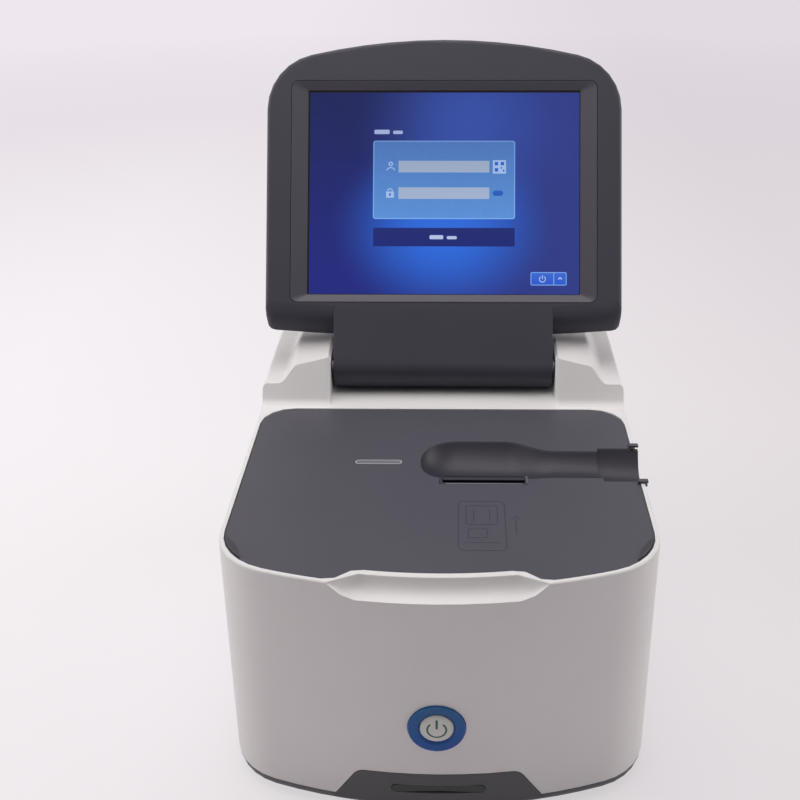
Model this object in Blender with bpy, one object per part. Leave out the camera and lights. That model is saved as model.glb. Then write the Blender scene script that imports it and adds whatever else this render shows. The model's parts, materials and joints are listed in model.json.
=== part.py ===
"""Portable blood gas analyzer with a fold-down touch display. Metres, +Z up.

The part stands on Z = 0 with its front towards -Y. X = 0 is its middle plane. Y = 0 is
the middle of its whole depth, from the front wall to the back of the leaning display.
"""

import math

import bmesh
import bpy

for old in list(bpy.data.objects):
    bpy.data.objects.remove(old, do_unlink=True)

# Driving dimensions
BODY_WIDTH = 0.227
BODY_FLARE = 0.0019
FRONT_TO_HINGE = 0.2238
HINGE_TO_REAR = 0.083
DECK_HEIGHT = 0.150
FOOT_HEIGHT = 0.003
FRONT_ARC = 0.268
FRONT_CORNER = 0.038
REAR_CORNER = 0.020
WALL = 0.0026
HINGE_RISE = 0.0144
DISPLAY_WIDTH = 0.2264
DISPLAY_LENGTH = 0.2079
FACE_OFFSET = 0.0128
BACK_OFFSET = 0.0112
EDGE_ROUND = 0.0024
BACK_ROUND = 0.0090
DISPLAY_TILT = math.radians(30.6)
BUTTON_PROUD = 0.0012
GAP = 0.0003
RUNNING_GAP = 0.0006
OVERRUN = 0.010
SMOOTH_BELOW = math.radians(35)
PILL_ROUND_SHARE = 0.455
QUARTER_MIDDLE_SHARE = 1 - math.sqrt(0.5)

# Sections through the display from its face to its back: depth, edge and chin shares
DISPLAY_SECTION_SHARES = (
    (0.0, 1.0, 0.0, 1.30),
    (0.015, 0.58, 0.0, 1.04),
    (0.045, 0.24, 0.0, 0.80),
    (0.10, 0.04, 0.0, 0.58),
    (0.24, 0.0, 0.0, 0.26),
    (0.47, 0.0, 0.0, 0.0),
    (0.62, 0.0, 0.0, 0.02),
    (0.75, 0.0, 0.05, 0.36),
    (0.89, 0.0, 0.30, 0.98),
    (0.97, 0.0, 0.66, 1.50),
    (1.0, 0.0, 1.0, 1.80),
)
DISPLAY_THICKNESS = FACE_OFFSET + BACK_OFFSET
DISPLAY_REACH = max(
    (deep * DISPLAY_THICKNESS - FACE_OFFSET) * math.cos(DISPLAY_TILT)
    + (DISPLAY_LENGTH - front * EDGE_ROUND - back * BACK_ROUND) * math.sin(DISPLAY_TILT)
    for deep, front, back, chin in DISPLAY_SECTION_SHARES
)

# Places that the driving dimensions give
HINGE_Y = (FRONT_TO_HINGE + BUTTON_PROUD - DISPLAY_REACH) / 2
FRONT_Y = HINGE_Y - FRONT_TO_HINGE
REAR_Y = HINGE_Y + HINGE_TO_REAR
DECK_Z = DECK_HEIGHT
HINGE_Z = DECK_Z + HINGE_RISE
ARC_Y = FRONT_Y + FRONT_ARC
HALF_WIDTH = BODY_WIDTH / 2


# Shaping helpers
def ring_at(outline, axis, place):
    if axis == "X":
        return [(place, u, v) for u, v in outline]
    if axis == "Y":
        return [(u, place, v) for u, v in outline]
    return [(u, v, place) for u, v in outline]


def loft(bm, rings):
    """Skin a closed body through rings that have the same number of points."""
    rows = [[bm.verts.new(point) for point in ring] for ring in rings]
    count = len(rows[0])
    for low, high in zip(rows, rows[1:]):
        for i in range(count):
            j = (i + 1) % count
            bm.faces.new((low[i], low[j], high[j], high[i]))
    bm.faces.new(list(reversed(rows[0])))
    bm.faces.new(rows[-1])


def prism(bm, outline, axis, low, high):
    loft(bm, [ring_at(outline, axis, low), ring_at(outline, axis, high)])


def block(bm, low, high):
    outline = [(low[0], low[1]), (high[0], low[1]), (high[0], high[1]), (low[0], high[1])]
    prism(bm, outline, "Z", low[2], high[2])


def arc(u, v, radius, start, end, steps):
    """Points on an arc from one angle to another, in degrees, both ends kept."""
    angles = [math.radians(start + (end - start) * k / steps) for k in range(steps + 1)]
    return [(u + radius * math.cos(a), v + radius * math.sin(a)) for a in angles]


def circle(u, v, radius, sides):
    return arc(u, v, radius, 0, 360, sides)[:-1]


def rounded(u0, v0, u1, v1, radius, steps=4):
    """Rectangle with round corners, anticlockwise."""
    return (
        arc(u1 - radius, v0 + radius, radius, -90, 0, steps)
        + arc(u1 - radius, v1 - radius, radius, 0, 90, steps)
        + arc(u0 + radius, v1 - radius, radius, 90, 180, steps)
        + arc(u0 + radius, v0 + radius, radius, 180, 270, steps)
    )


def turned(bm, axis, u, v, stations, sides=24):
    """Body of revolution from (place along the axis, radius) stations."""
    loft(bm, [ring_at(circle(u, v, radius, sides), axis, place) for place, radius in stations])


def rod(bm, axis, u, v, radius, low, high, sides=20):
    turned(bm, axis, u, v, [(low, radius), (high, radius)], sides)


def smooth_share(t):
    t = min(max(t, 0.0), 1.0)
    return t * t * (3 - 2 * t)


def finish(name, colour, roughness, metallic=0.0):
    made = bpy.data.materials.new(name)
    made.use_nodes = True
    shader = made.node_tree.nodes["Principled BSDF"]
    shader.inputs["Base Color"].default_value = (*colour, 1.0)
    shader.inputs["Roughness"].default_value = roughness
    shader.inputs["Metallic"].default_value = metallic
    made.diffuse_color = (*colour, 1.0)
    return made


def piece(name, bm, material=None, frame=None):
    """Turn the mesh into a named object, and hang it on a pivot or frame if it has one."""
    bmesh.ops.recalc_face_normals(bm, faces=bm.faces)
    mesh = bpy.data.meshes.new(name)
    bm.to_mesh(mesh)
    bm.free()
    mesh.shade_smooth()
    mesh.set_sharp_from_angle(angle=SMOOTH_BELOW)
    made = bpy.data.objects.new(name, mesh)
    bpy.context.scene.collection.objects.link(made)
    if material:
        mesh.materials.append(material)
    if frame:
        made.parent = frame
        if not frame.rotation_euler.x:
            made.location = -frame.location
    return made


def tool(name, bm, frame=None):
    """A cutter or a lump that other objects use, and that isn't a piece by itself."""
    made = piece(name, bm, None, frame)
    made.hide_render = True
    made.display_type = "WIRE"
    return made


def combine(target, other, operation):
    step = target.modifiers.new(operation.title() + " " + other.name, "BOOLEAN")
    step.operation = operation
    step.object = other


def carve(target, *cutters):
    for cutter in cutters:
        combine(target, cutter, "DIFFERENCE")


def fuse(target, *lumps):
    for lump in lumps:
        combine(target, lump, "UNION")


def pivot(name, x, y, z):
    made = bpy.data.objects.new(name, None)
    made.location = (x, y, z)
    bpy.context.scene.collection.objects.link(made)
    return made


# Finishes
WHITE_ABS = finish("white_abs", (0.74, 0.72, 0.71), 0.42)
SLATE_ABS = finish("slate_abs", (0.098, 0.095, 0.107), 0.48)
DARK_ABS = finish("dark_abs", (0.050, 0.050, 0.061), 0.45)
BASE_ABS = finish("base_abs", (0.056, 0.056, 0.063), 0.55)
SURROUND_ABS = finish("surround_abs", (0.075, 0.074, 0.085), 0.5)
FROSTED = finish("frosted_lens", (0.32, 0.32, 0.34), 0.5)
BLUE_LENS = finish("blue_lens", (0.020, 0.080, 0.32), 0.25)
CAP_PLASTIC = finish("cap_plastic", (0.66, 0.66, 0.67), 0.35)
SMOKED = finish("smoked_window", (0.012, 0.012, 0.014), 0.12)
SCREEN = finish("screen_glass", (0.014, 0.05, 0.42), 0.12)
STEEL = finish("zinc_steel", (0.60, 0.60, 0.62), 0.35, 1.0)
ALUMINIUM = finish("aluminium", (0.72, 0.72, 0.74), 0.38, 1.0)
RUBBER = finish("black_rubber", (0.025, 0.025, 0.025), 0.8)
GREEN_BOARD = finish("fibreglass_board", (0.03, 0.16, 0.07), 0.45)
BLACK_PART = finish("black_part", (0.02, 0.02, 0.022), 0.5)
ACETAL = finish("acetal", (0.70, 0.69, 0.66), 0.5)
PAPER = finish("thermal_paper", (0.86, 0.86, 0.85), 0.8)
BATTERY_WRAP = finish("battery_wrap", (0.04, 0.07, 0.16), 0.4)


# Plan outline that the housing, deck and base share
FRONT_STEPS = 14
LIP_STEPS = 28
CORNER_STEPS = 6
REAR_STEPS = 4
LIP_INNER = 0.041
LIP_OUTER = 0.054


def lip_share(x):
    """1 along the finger cove, falling smoothly to 0 at its two ends."""
    return smooth_share((LIP_OUTER - abs(x)) / (LIP_OUTER - LIP_INNER))


def body_outline(half_width, inset, rear=REAR_Y, rear_corner=REAR_CORNER, retreat=0.0):
    """Bowed front, round corners and straight sides, seen from above."""
    across = half_width - FRONT_CORNER
    corner_y = ARC_Y - math.sqrt((FRONT_ARC - FRONT_CORNER) ** 2 - across**2)
    turn = math.degrees(math.atan2(across, ARC_Y - corner_y))
    steps = LIP_STEPS if retreat else FRONT_STEPS
    front = []
    for x, y in arc(0, ARC_Y, FRONT_ARC - inset, -90 - turn, -90 + turn, steps):
        short = 1 - retreat * lip_share(x) / (FRONT_ARC - inset)
        front.append((x * short, ARC_Y + (y - ARC_Y) * short))
    corner = arc(across, corner_y, FRONT_CORNER - inset, turn - 90, 0, CORNER_STEPS)[1:]
    back_x = half_width - rear_corner
    back = arc(back_x, rear - rear_corner, rear_corner - inset, 0, 90, REAR_STEPS)
    right = corner + back
    left = [(-x, y) for x, y in reversed(right)]
    return front + right + left


# Upper housing: moulded skirt, rim, two hinge shoulders and the rear hood
HOUSING_FOOT = 0.011
RIM_ROUND = 0.0014
RIM_WIDTH = 0.0028
DECK_DROP = 0.0004
DECK_THICKNESS = 0.0028
SHELF_WIDTH = 0.0042
DECK_TO_HINGE = 0.0336
DECK_REAR_CORNER = 0.019
COVE_DEPTH = 0.0099
COVE_DROP = 0.0087
LIP_WIDTH = 0.0038
LIP_ROUND = 0.0010
COVE_STEPS = 16
COVER_STEPS = 10
COVE_CURVE_STEPS = 5
COVE_CURVE_END = 80
COVE_END_SHARE = 0.02
COVE_END_DROP_SHARE = 0.06
SHOULDER_WIDTH = 0.0425
CREASE_TO_SIDE = 0.0215
STEP_TO_SIDE = 0.0105
SHOULDER_LOW = 0.0112
SHOULDER_ROOT = 0.008
FACET_FOOT = 0.028
FACET_SLOPE = math.radians(56.3)
FACET_FILLET = 0.009
FACET_SINK = 0.0005
FACET_BEVEL = 0.0015
FACET_FILLET_STEPS = 5
HOOD_RISE = 0.010
HOOD_FRONT = 0.010
HINGE_TROUGH = 0.0152
REAR_TOP_ROUND = 0.005
RIDGE_STATION_SHARES = (
    (-0.41, 0.62, 0.66),
    (-0.20, 0.73, 0.86),
    (0.0, 0.87, 0.95),
    (0.205, 0.955, 1.0),
    (0.42, 0.90, 0.93),
    (0.62, 0.75, 0.77),
    (0.78, 0.60, 0.61),
)
RIDGE_PEAK = 0.028
SIDE_ROUND_SHARES = ((1.0, 0.64), (0.86, 0.20), (0.44, 0.0))
SIDE_ROUND = 0.0045
CREASE_ROUND = 0.0016
STEP_CURVE_STEPS = 5
HOLLOW_CURVE_STEPS = 3
EDGE_FALLS = (30, 60, 90)

DECK_REAR_Y = HINGE_Y - DECK_TO_HINGE
DECK_TOP = DECK_Z - DECK_DROP
DECK_UNDER = DECK_TOP - DECK_THICKNESS
SHELF_UNDER = DECK_UNDER - GAP - WALL
HOOD_TOP = DECK_Z + HOOD_RISE
shoulder_inner = HALF_WIDTH - SHOULDER_WIDTH


def half_width_at(z):
    return HALF_WIDTH + BODY_FLARE * (DECK_Z - z) / (DECK_Z - HOUSING_FOOT)


def deck_outline(inset):
    return body_outline(
        HALF_WIDTH,
        RIM_WIDTH + inset,
        DECK_REAR_Y + RIM_WIDTH,
        DECK_REAR_CORNER + RIM_WIDTH,
        COVE_DEPTH + LIP_WIDTH - RIM_WIDTH,
    )


def skirt(bm, levels):
    """Upright shell of the housing through (height, inset) levels."""
    loft(bm, [ring_at(body_outline(half_width_at(z), inset), "Z", z) for z, inset in levels])


def side_at(y):
    """Half width of the housing at this depth, round its rear corner."""
    past = max(y - (REAR_Y - REAR_CORNER), 0.0)
    return HALF_WIDTH - REAR_CORNER + math.sqrt(max(REAR_CORNER**2 - past**2, 0.0))


def shoulder_section(y, crease, inner, side, inset, root):
    """Section across one shoulder: low outer shelf, S-shaped step and inner plateau."""
    reach = side_at(y) - inset
    squeeze = (side_at(y) - shoulder_inner) / SHOULDER_WIDTH
    low = DECK_Z + SHOULDER_LOW - inset
    high = DECK_Z + RIDGE_PEAK * crease - inset
    top = DECK_Z + RIDGE_PEAK * inner - inset
    points = [(reach, root)]
    for out, down in SIDE_ROUND_SHARES:
        points.append((reach - SIDE_ROUND * (1 - out), low - SIDE_ROUND * down))
    points.append((reach - SIDE_ROUND, low))
    step_x = shoulder_inner + (SHOULDER_WIDTH - STEP_TO_SIDE) * squeeze
    crease_x = shoulder_inner + (SHOULDER_WIDTH - CREASE_TO_SIDE) * squeeze
    steps = HOLLOW_CURVE_STEPS if inset else STEP_CURVE_STEPS
    for k in range(steps + 1):
        t = k / steps
        points.append((step_x + (crease_x - step_x) * t, low + (high - low) * smooth_share(t)))
    inner_x = shoulder_inner + inset
    points += [(inner_x + CREASE_ROUND, top), (inner_x, top - CREASE_ROUND), (inner_x, root)]
    return [(side * x, z) for x, z in points]


def shoulder(bm, side, inset, root):
    """Ridge that carries one end of the hinge and fades towards the rear wall."""
    span = REAR_Y - HINGE_Y
    rings = []
    for place, crease, inner in RIDGE_STATION_SHARES:
        y = HINGE_Y + place * span
        if inset and not rings:
            y += inset
        rings.append(ring_at(shoulder_section(y, crease, inner, side, inset, root), "Y", y))
    last, crease, inner = RIDGE_STATION_SHARES[-1]
    for fall in EDGE_FALLS:
        back = math.sin(math.radians(fall))
        drop = REAR_TOP_ROUND * (1 - math.cos(math.radians(fall)))
        y = HINGE_Y + last * span + (span * (1 - last) - inset) * back
        section = shoulder_section(min(y, REAR_Y - inset), crease, inner, side, inset, root)
        rings.append(ring_at([(x, max(z - drop, root)) for x, z in section], "Y", y))
    loft(bm, rings)


def hood_profile(inset, front):
    """Section of the hood between the shoulders, with a round rear edge."""
    top = HOOD_TOP - inset
    rear = REAR_Y - inset
    round_off = REAR_TOP_ROUND - inset
    rear_edge = arc(rear - round_off, top - round_off, round_off, 0, 90, 4)
    return [(front, DECK_Z - SHOULDER_ROOT), (rear, DECK_Z - SHOULDER_ROOT)] + rear_edge + [(front, top)]


def facet_profile():
    """Sloping front of the shoulders with its hollow fillet, as the space ahead of it."""
    slope = math.degrees(FACET_SLOPE)
    normal = math.radians(slope + 90)
    foot_y = HINGE_Y - FACET_FOOT
    centre_z = DECK_Z - FACET_SINK + FACET_FILLET
    lift = (FACET_FILLET - (centre_z - DECK_Z) * math.sin(normal)) / math.cos(normal)
    fillet = arc(foot_y + lift, centre_z, FACET_FILLET, -90, slope - 90, FACET_FILLET_STEPS)
    high = RIDGE_PEAK + OVERRUN
    crest = foot_y + high / math.tan(FACET_SLOPE)
    ahead = DECK_REAR_Y - OVERRUN
    floor = DECK_Z - FACET_SINK
    return [(ahead, floor)] + fillet + [(crest, DECK_Z + high), (ahead, DECK_Z + high)]


def cove_section(x, cover):
    """Section of the finger cove at this place along the rim, as (outward, up) points."""
    share = lip_share(x)
    deep = COVE_DEPTH * max(share, COVE_END_SHARE) + cover
    drop = COVE_DROP * max(math.sqrt(share), COVE_END_DROP_SHARE) + cover
    angles = [math.radians(COVE_CURVE_END * k / COVE_CURVE_STEPS) for k in range(COVE_CURVE_STEPS + 1)]
    curve = [(-deep * math.sin(a), -drop * math.cos(a)) for a in angles]
    middle = LIP_ROUND * QUARTER_MIDDLE_SHARE
    lip = [(-deep, -LIP_ROUND), (-deep - middle, -middle), (-deep - LIP_ROUND, 0.0)]
    return [(OVERRUN, OVERRUN), (OVERRUN, -drop)] + curve + lip + [(-deep - LIP_ROUND, OVERRUN)]


def cove(bm, cover):
    """Finger cove swept along the bowed front, or with a cover the wall behind it."""
    rings = []
    steps = COVER_STEPS if cover else COVE_STEPS
    for k in range(steps + 1):
        x = LIP_OUTER * (2 * k / steps - 1)
        angle = math.asin(x / FRONT_ARC)
        ring = []
        for out, up in cove_section(x, cover):
            radius = FRONT_ARC + out
            ring.append((radius * math.sin(angle), ARC_Y - radius * math.cos(angle), DECK_Z + up))
        rings.append(ring)
    loft(bm, rings)


bm = bmesh.new()
round_levels = [(DECK_Z - RIM_ROUND, 0.0)]
for fall in EDGE_FALLS:
    turn = math.radians(fall)
    round_levels.append((DECK_Z - RIM_ROUND * (1 - math.sin(turn)), RIM_ROUND * (1 - math.cos(turn))))
skirt(bm, [(HOUSING_FOOT, 0.0)] + round_levels)
upper_housing = piece("upper_housing", bm, WHITE_ABS)

bm = bmesh.new()
shoulder(bm, 1, 0.0, DECK_Z - SHOULDER_ROOT)
shoulder(bm, -1, 0.0, DECK_Z - SHOULDER_ROOT)
shoulders = tool("shoulder_lumps", bm)
facet = facet_profile()
facet_back = [(y + FACET_BEVEL, z) for y, z in facet]
bevel_start = shoulder_inner + CREASE_ROUND
bevel_end = bevel_start + FACET_BEVEL
bm = bmesh.new()
loft(
    bm,
    [
        ring_at(facet, "X", -HALF_WIDTH - OVERRUN),
        ring_at(facet, "X", -bevel_end),
        ring_at(facet_back, "X", -shoulder_inner),
        ring_at(facet_back, "X", shoulder_inner),
        ring_at(facet, "X", bevel_end),
        ring_at(facet, "X", HALF_WIDTH + OVERRUN),
    ],
)
carve(shoulders, tool("facet_cutter", bm))

bm = bmesh.new()
hood_half = shoulder_inner + CREASE_ROUND
prism(bm, hood_profile(0.0, HINGE_Y + HOOD_FRONT), "X", -hood_half, hood_half)
hood = tool("hood_lump", bm)

bm = bmesh.new()
rod(bm, "X", HINGE_Y, HINGE_Z, HINGE_TROUGH, -shoulder_inner, shoulder_inner, 36)
trough_cutter = tool("hinge_trough_cutter", bm)

bm = bmesh.new()
skirt(bm, [(HOUSING_FOOT - OVERRUN, WALL), (SHELF_UNDER, WALL)])
hollow_cutter = tool("housing_hollow_cutter", bm)
bm = bmesh.new()
cove(bm, WALL)
carve(hollow_cutter, tool("cove_wall", bm))

bm = bmesh.new()
hollow_root = SHELF_UNDER - WALL
shoulder(bm, 1, WALL, hollow_root)
shoulder(bm, -1, WALL, hollow_root)
shoulder_hollow = tool("shoulder_hollow_cutter", bm)
bm = bmesh.new()
facet = [(y + WALL / math.sin(FACET_SLOPE) + FACET_BEVEL / 2, z) for y, z in facet]
prism(bm, facet, "X", -HALF_WIDTH - OVERRUN, HALF_WIDTH + OVERRUN)
carve(shoulder_hollow, tool("facet_hollow_cutter", bm))

bm = bmesh.new()
hood_hollow_front = HINGE_Y + HINGE_TROUGH + WALL
hood_ring = hood_profile(WALL, hood_hollow_front)
hood_ring = [(y, z if z > DECK_Z else hollow_root) for y, z in hood_ring]
prism(bm, hood_ring, "X", -shoulder_inner + WALL, shoulder_inner - WALL)
hood_hollow = tool("hood_hollow_cutter", bm)

bm = bmesh.new()
prism(bm, deck_outline(-GAP), "Z", DECK_UNDER - GAP, DECK_Z + OVERRUN)
deck_recess = tool("deck_recess_cutter", bm)
bm = bmesh.new()
prism(bm, deck_outline(SHELF_WIDTH), "Z", SHELF_UNDER - WALL, DECK_Z)
shelf_cutter = tool("shelf_cutter", bm)

bm = bmesh.new()
cove(bm, 0.0)
cove_cutter = tool("cove_cutter", bm)

fuse(upper_housing, shoulders, hood)
carve(upper_housing, trough_cutter, hollow_cutter, shoulder_hollow, hood_hollow)
carve(upper_housing, deck_recess, shelf_cutter, cove_cutter)


# Deck panel: slate moulding with the finger well, syringe channel and cartridge opening
WELL_LEFT = 0.0118
WELL_END = 0.021
WELL_END_START = 4
WELL_END_TURN = 12
WELL_START_SHARE = 0.004
WELL_FULLNESS = 0.6
WELL_STRAIGHT = 0.0375
WELL_REAR = 0.0750
WELL_FRONT = 0.1193
WELL_DEPTH = 0.0125
NARROW_LENGTH = 0.0259
NARROW_REAR = 0.0863
NARROW_FRONT = 0.1172
NARROW_DEPTH = 0.0085
NARROW_STEPS = 7
WIDE_LENGTH = 0.0243
WIDE_REAR = 0.0828
WIDE_FRONT = 0.1207
WIDE_DEPTH = 0.0125
CHANNEL_PROUD = 0.0014
TROUGH_SKIN = 0.0022
TROUGH_LEAN = 0.78
TROUGH_STEPS = 11
TROUGH_SKIN_STEPS = 7
STEP_RUN = 0.0004
DECK_EDGE = 0.0004
FLANGE_THICKNESS = 0.0012
FLANGE_ROOT = 0.0018
FLANGE_WIDTH = 0.0030
SLOT_X = 0.0240
SLOT_WIDTH = 0.046
SLOT_REAR = 0.1163
SLOT_DEPTH = 0.0064
COLLAR_WALL = 0.0013
LENS_LEFT = -0.049
LENS_RIGHT = -0.0225
LENS_REAR = 0.0975
LENS_DEPTH = 0.0050

channel_reach = HALF_WIDTH + CHANNEL_PROUD
wide_start = channel_reach - WIDE_LENGTH
narrow_start = wide_start - NARROW_LENGTH


def blend(a, b, t):
    return a + (b - a) * smooth_share(t)


def trough_at(x):
    """Rear edge, front edge and depth of the sunken trough at this place across the deck."""
    if x > wide_start + STEP_RUN / 2:
        return WIDE_REAR, WIDE_FRONT, WIDE_DEPTH
    t = (x - WELL_STRAIGHT) / (narrow_start - WELL_STRAIGHT)
    rear = blend(WELL_REAR, NARROW_REAR, t)
    front = blend(WELL_FRONT, NARROW_FRONT, t)
    deep = blend(WELL_DEPTH, NARROW_DEPTH, t)
    into = min(max((x + WELL_LEFT) / WELL_END, WELL_START_SHARE), 1.0)
    swell = math.sqrt(1 - (1 - into) ** 2)
    middle = (rear + front) / 2
    half = (front - rear) / 2
    return middle - half * swell, middle + half * swell**WELL_FULLNESS, deep * swell


def trough_section(x, skin, rim, top):
    """Hollow section that falls steeply from its rear edge and rises slowly to the front."""
    rear, front, deep = trough_at(x)
    rear = HINGE_Y - rear + skin
    front = HINGE_Y - front - skin
    deep += skin - (DECK_TOP - rim)
    points = []
    steps = TROUGH_SKIN_STEPS if skin else TROUGH_STEPS
    for k in range(steps + 1):
        across = (1 - math.cos(math.pi * k / steps)) / 2
        fall = math.sin(math.pi * across**TROUGH_LEAN)
        points.append((rear + (front - rear) * across, rim - deep * max(fall, 0.0)))
    if top > rim:
        points = [(rear, top)] + points + [(front, top)]
    return points


def trough(bm, skin, rim, top, low, high):
    turns = range(WELL_END_START, 91, WELL_END_TURN)
    places = [-WELL_LEFT + WELL_END * (1 - math.cos(math.radians(a))) for a in turns]
    run = narrow_start - WELL_STRAIGHT
    places += [WELL_STRAIGHT + run * k / NARROW_STEPS for k in range(NARROW_STEPS + 1)]
    places += [wide_start, wide_start + STEP_RUN, high]
    inside = [x for x in places if low < x]
    if low > places[0]:
        inside = [low] + inside
    rings = [ring_at(trough_section(x, skin, rim, top), "X", x) for x in inside]
    if low < places[0]:
        rings[0] = [(x - skin, y, z) for x, y, z in rings[0]]
    loft(bm, rings)


def flange_profile():
    """Lip of the channel's end, which steps over the housing's rim."""
    over = DECK_Z + GAP
    inner = HALF_WIDTH - RIM_WIDTH - GAP
    return [
        (inner - FLANGE_ROOT, DECK_TOP - DECK_THICKNESS / 2),
        (inner, DECK_TOP - DECK_THICKNESS / 2),
        (inner, over),
        (channel_reach, over),
        (channel_reach, over + FLANGE_THICKNESS),
        (inner - FLANGE_ROOT / 2, over + FLANGE_THICKNESS),
    ]


bm = bmesh.new()
loft(
    bm,
    [
        ring_at(deck_outline(0.0), "Z", DECK_UNDER),
        ring_at(deck_outline(0.0), "Z", DECK_TOP - DECK_EDGE),
        ring_at(deck_outline(DECK_EDGE), "Z", DECK_TOP),
    ],
)
deck_panel = piece("deck_panel", bm, SLATE_ABS)

bm = bmesh.new()
skin_top = DECK_TOP - DECK_THICKNESS / 2
trough(bm, TROUGH_SKIN, skin_top, skin_top, -HALF_WIDTH, channel_reach)
trough_skin = tool("trough_skin", bm)
bm = bmesh.new()
trough(bm, 0.0, DECK_TOP, DECK_TOP + OVERRUN, -HALF_WIDTH, channel_reach + OVERRUN)
trough_cutter = tool("trough_cutter", bm)
bm = bmesh.new()
flange = flange_profile()
prism(bm, flange, "Y", HINGE_Y - WIDE_REAR - STEP_RUN, HINGE_Y - WIDE_REAR + FLANGE_WIDTH)
prism(bm, flange, "Y", HINGE_Y - WIDE_FRONT - FLANGE_WIDTH, HINGE_Y - WIDE_FRONT + STEP_RUN)
channel_flange = tool("channel_flange", bm)

bm = bmesh.new()
notch_low = HALF_WIDTH - RIM_WIDTH - SHELF_WIDTH - OVERRUN
trough(bm, TROUGH_SKIN + GAP, skin_top, DECK_Z + OVERRUN, notch_low, channel_reach + OVERRUN)
notch_cutter = tool("channel_notch_cutter", bm)
carve(upper_housing, notch_cutter)

slot_front = SLOT_REAR + SLOT_DEPTH
slot_low_x = SLOT_X - SLOT_WIDTH / 2
slot_high_x = SLOT_X + SLOT_WIDTH / 2
collar_low = (slot_low_x - COLLAR_WALL, HINGE_Y - slot_front - COLLAR_WALL)
collar_high = (slot_high_x + COLLAR_WALL, HINGE_Y - SLOT_REAR + COLLAR_WALL)

bm = bmesh.new()
block(
    bm,
    (collar_low[0] - GAP, collar_low[1] - GAP, DECK_UNDER - OVERRUN),
    (collar_high[0] + GAP, collar_high[1] + GAP, DECK_TOP + OVERRUN),
)
lens_rear = HINGE_Y - LENS_REAR
lens_round = LENS_DEPTH * PILL_ROUND_SHARE
lens_outline = rounded(LENS_LEFT, lens_rear - LENS_DEPTH, LENS_RIGHT, lens_rear, lens_round)
prism(bm, lens_outline, "Z", DECK_UNDER - OVERRUN, DECK_TOP + OVERRUN)
deck_openings = tool("deck_openings", bm)

fuse(deck_panel, trough_skin, channel_flange)
carve(deck_panel, trough_cutter, deck_openings)


# Corner rests: rubber half-moons on which the closed display lies
REST_RISE = 0.0010
REST_START = -47
REST_END = -8
REST_INSET = 0.0009
REST_CHORD_BOW = 0.0012
REST_EDGE = 0.0004
REST_STEPS = 8


def rest_outline(side, inset):
    """Lens between the deck's corner arc and a flatter inner arc."""
    across = HALF_WIDTH - FRONT_CORNER
    corner_y = ARC_Y - math.sqrt((FRONT_ARC - FRONT_CORNER) ** 2 - across**2)
    radius = FRONT_CORNER - RIM_WIDTH - REST_INSET - inset
    trim = math.degrees(2 * inset / radius)
    outer = arc(across, corner_y, radius, REST_START + trim, REST_END - trim, REST_STEPS)
    (x0, y0), (x1, y1) = outer[-1], outer[0]
    inner = []
    for k in range(1, REST_STEPS):
        t = k / REST_STEPS
        bow = (REST_CHORD_BOW - inset) * math.sin(math.pi * t)
        length = math.hypot(x1 - x0, y1 - y0)
        inner.append((
            x0 + (x1 - x0) * t - bow * (y0 - y1) / length,
            y0 + (y1 - y0) * t + bow * (x0 - x1) / length,
        ))
    return [(side * x, y) for x, y in outer + inner]


for side, label in ((1, "right"), (-1, "left")):
    bm = bmesh.new()
    foot = DECK_TOP + GAP
    loft(
        bm,
        [
            ring_at(rest_outline(side, 0.0), "Z", foot),
            ring_at(rest_outline(side, 0.0), "Z", foot + REST_RISE - REST_EDGE),
            ring_at(rest_outline(side, REST_EDGE), "Z", foot + REST_RISE),
        ],
    )
    piece("corner_rest_" + label, bm, RUBBER)


# Status lens: light pipe in the deck with a foot that seats under it
LENS_FLANGE = 0.0014
bm = bmesh.new()
lens_radius = lens_round - GAP
lens_box = (LENS_LEFT + GAP, lens_rear - LENS_DEPTH + GAP, LENS_RIGHT - GAP, lens_rear - GAP)
lens_foot = (
    lens_box[0] - LENS_FLANGE,
    lens_box[1] - LENS_FLANGE,
    lens_box[2] + LENS_FLANGE,
    lens_box[3] + LENS_FLANGE,
)
lens_seat = DECK_UNDER - GAP
loft(
    bm,
    [
        ring_at(rounded(*lens_foot, lens_radius), "Z", lens_seat - LENS_FLANGE),
        ring_at(rounded(*lens_foot, lens_radius), "Z", lens_seat),
        ring_at(rounded(*lens_box, lens_radius), "Z", lens_seat),
        ring_at(rounded(*lens_box, lens_radius), "Z", DECK_TOP),
    ],
)
piece("status_lens", bm, FROSTED)


# Base tray: dark lower moulding with the raised front tab, battery bay and posts
BASE_FLOOR = 0.0030
BASE_ROUND = 0.0065
BASE_INSET = 0.0003
TONGUE_THICKNESS = 0.0018
TONGUE_HEIGHT = 0.0040
TAB_HALF_TOP = 0.046
TAB_HALF_FOOT = 0.057
TAB_TOP = 0.030
TAB_GAP = 0.0004
TAB_ROUND = 0.007
WINDOW_HALF = 0.0253
WINDOW_LOW = 0.0166
WINDOW_HIGH = 0.0222
BAY_SIDE = 0.0155
BAY_INNER = 0.018
BAY_FRONT = 0.0806
BAY_LENGTH = 0.088
BAY_HEIGHT = 0.025
BAY_WALL = 0.0020
DOOR_LIP = 0.0035
DOOR_THICKNESS = 0.0016
COLUMN_TO_FRONT = 0.0568
COLUMN_TO_REAR = 0.033
COLUMN_TO_SIDE = 0.0065
COLUMN_RADIUS = 0.0046
COLUMN_FOOT = 0.0170
SCREW_RADIUS = 0.0012
SCREW_HEAD = 0.0026
SCREW_HEAD_HEIGHT = 0.0016

base_bottom = FOOT_HEIGHT
base_floor_top = base_bottom + BASE_FLOOR
base_top = HOUSING_FOOT - GAP
tongue_inset = WALL + GAP
tray_inset = tongue_inset + TONGUE_THICKNESS


def base_ring(z, inset):
    return ring_at(body_outline(half_width_at(z), inset), "Z", z)


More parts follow.
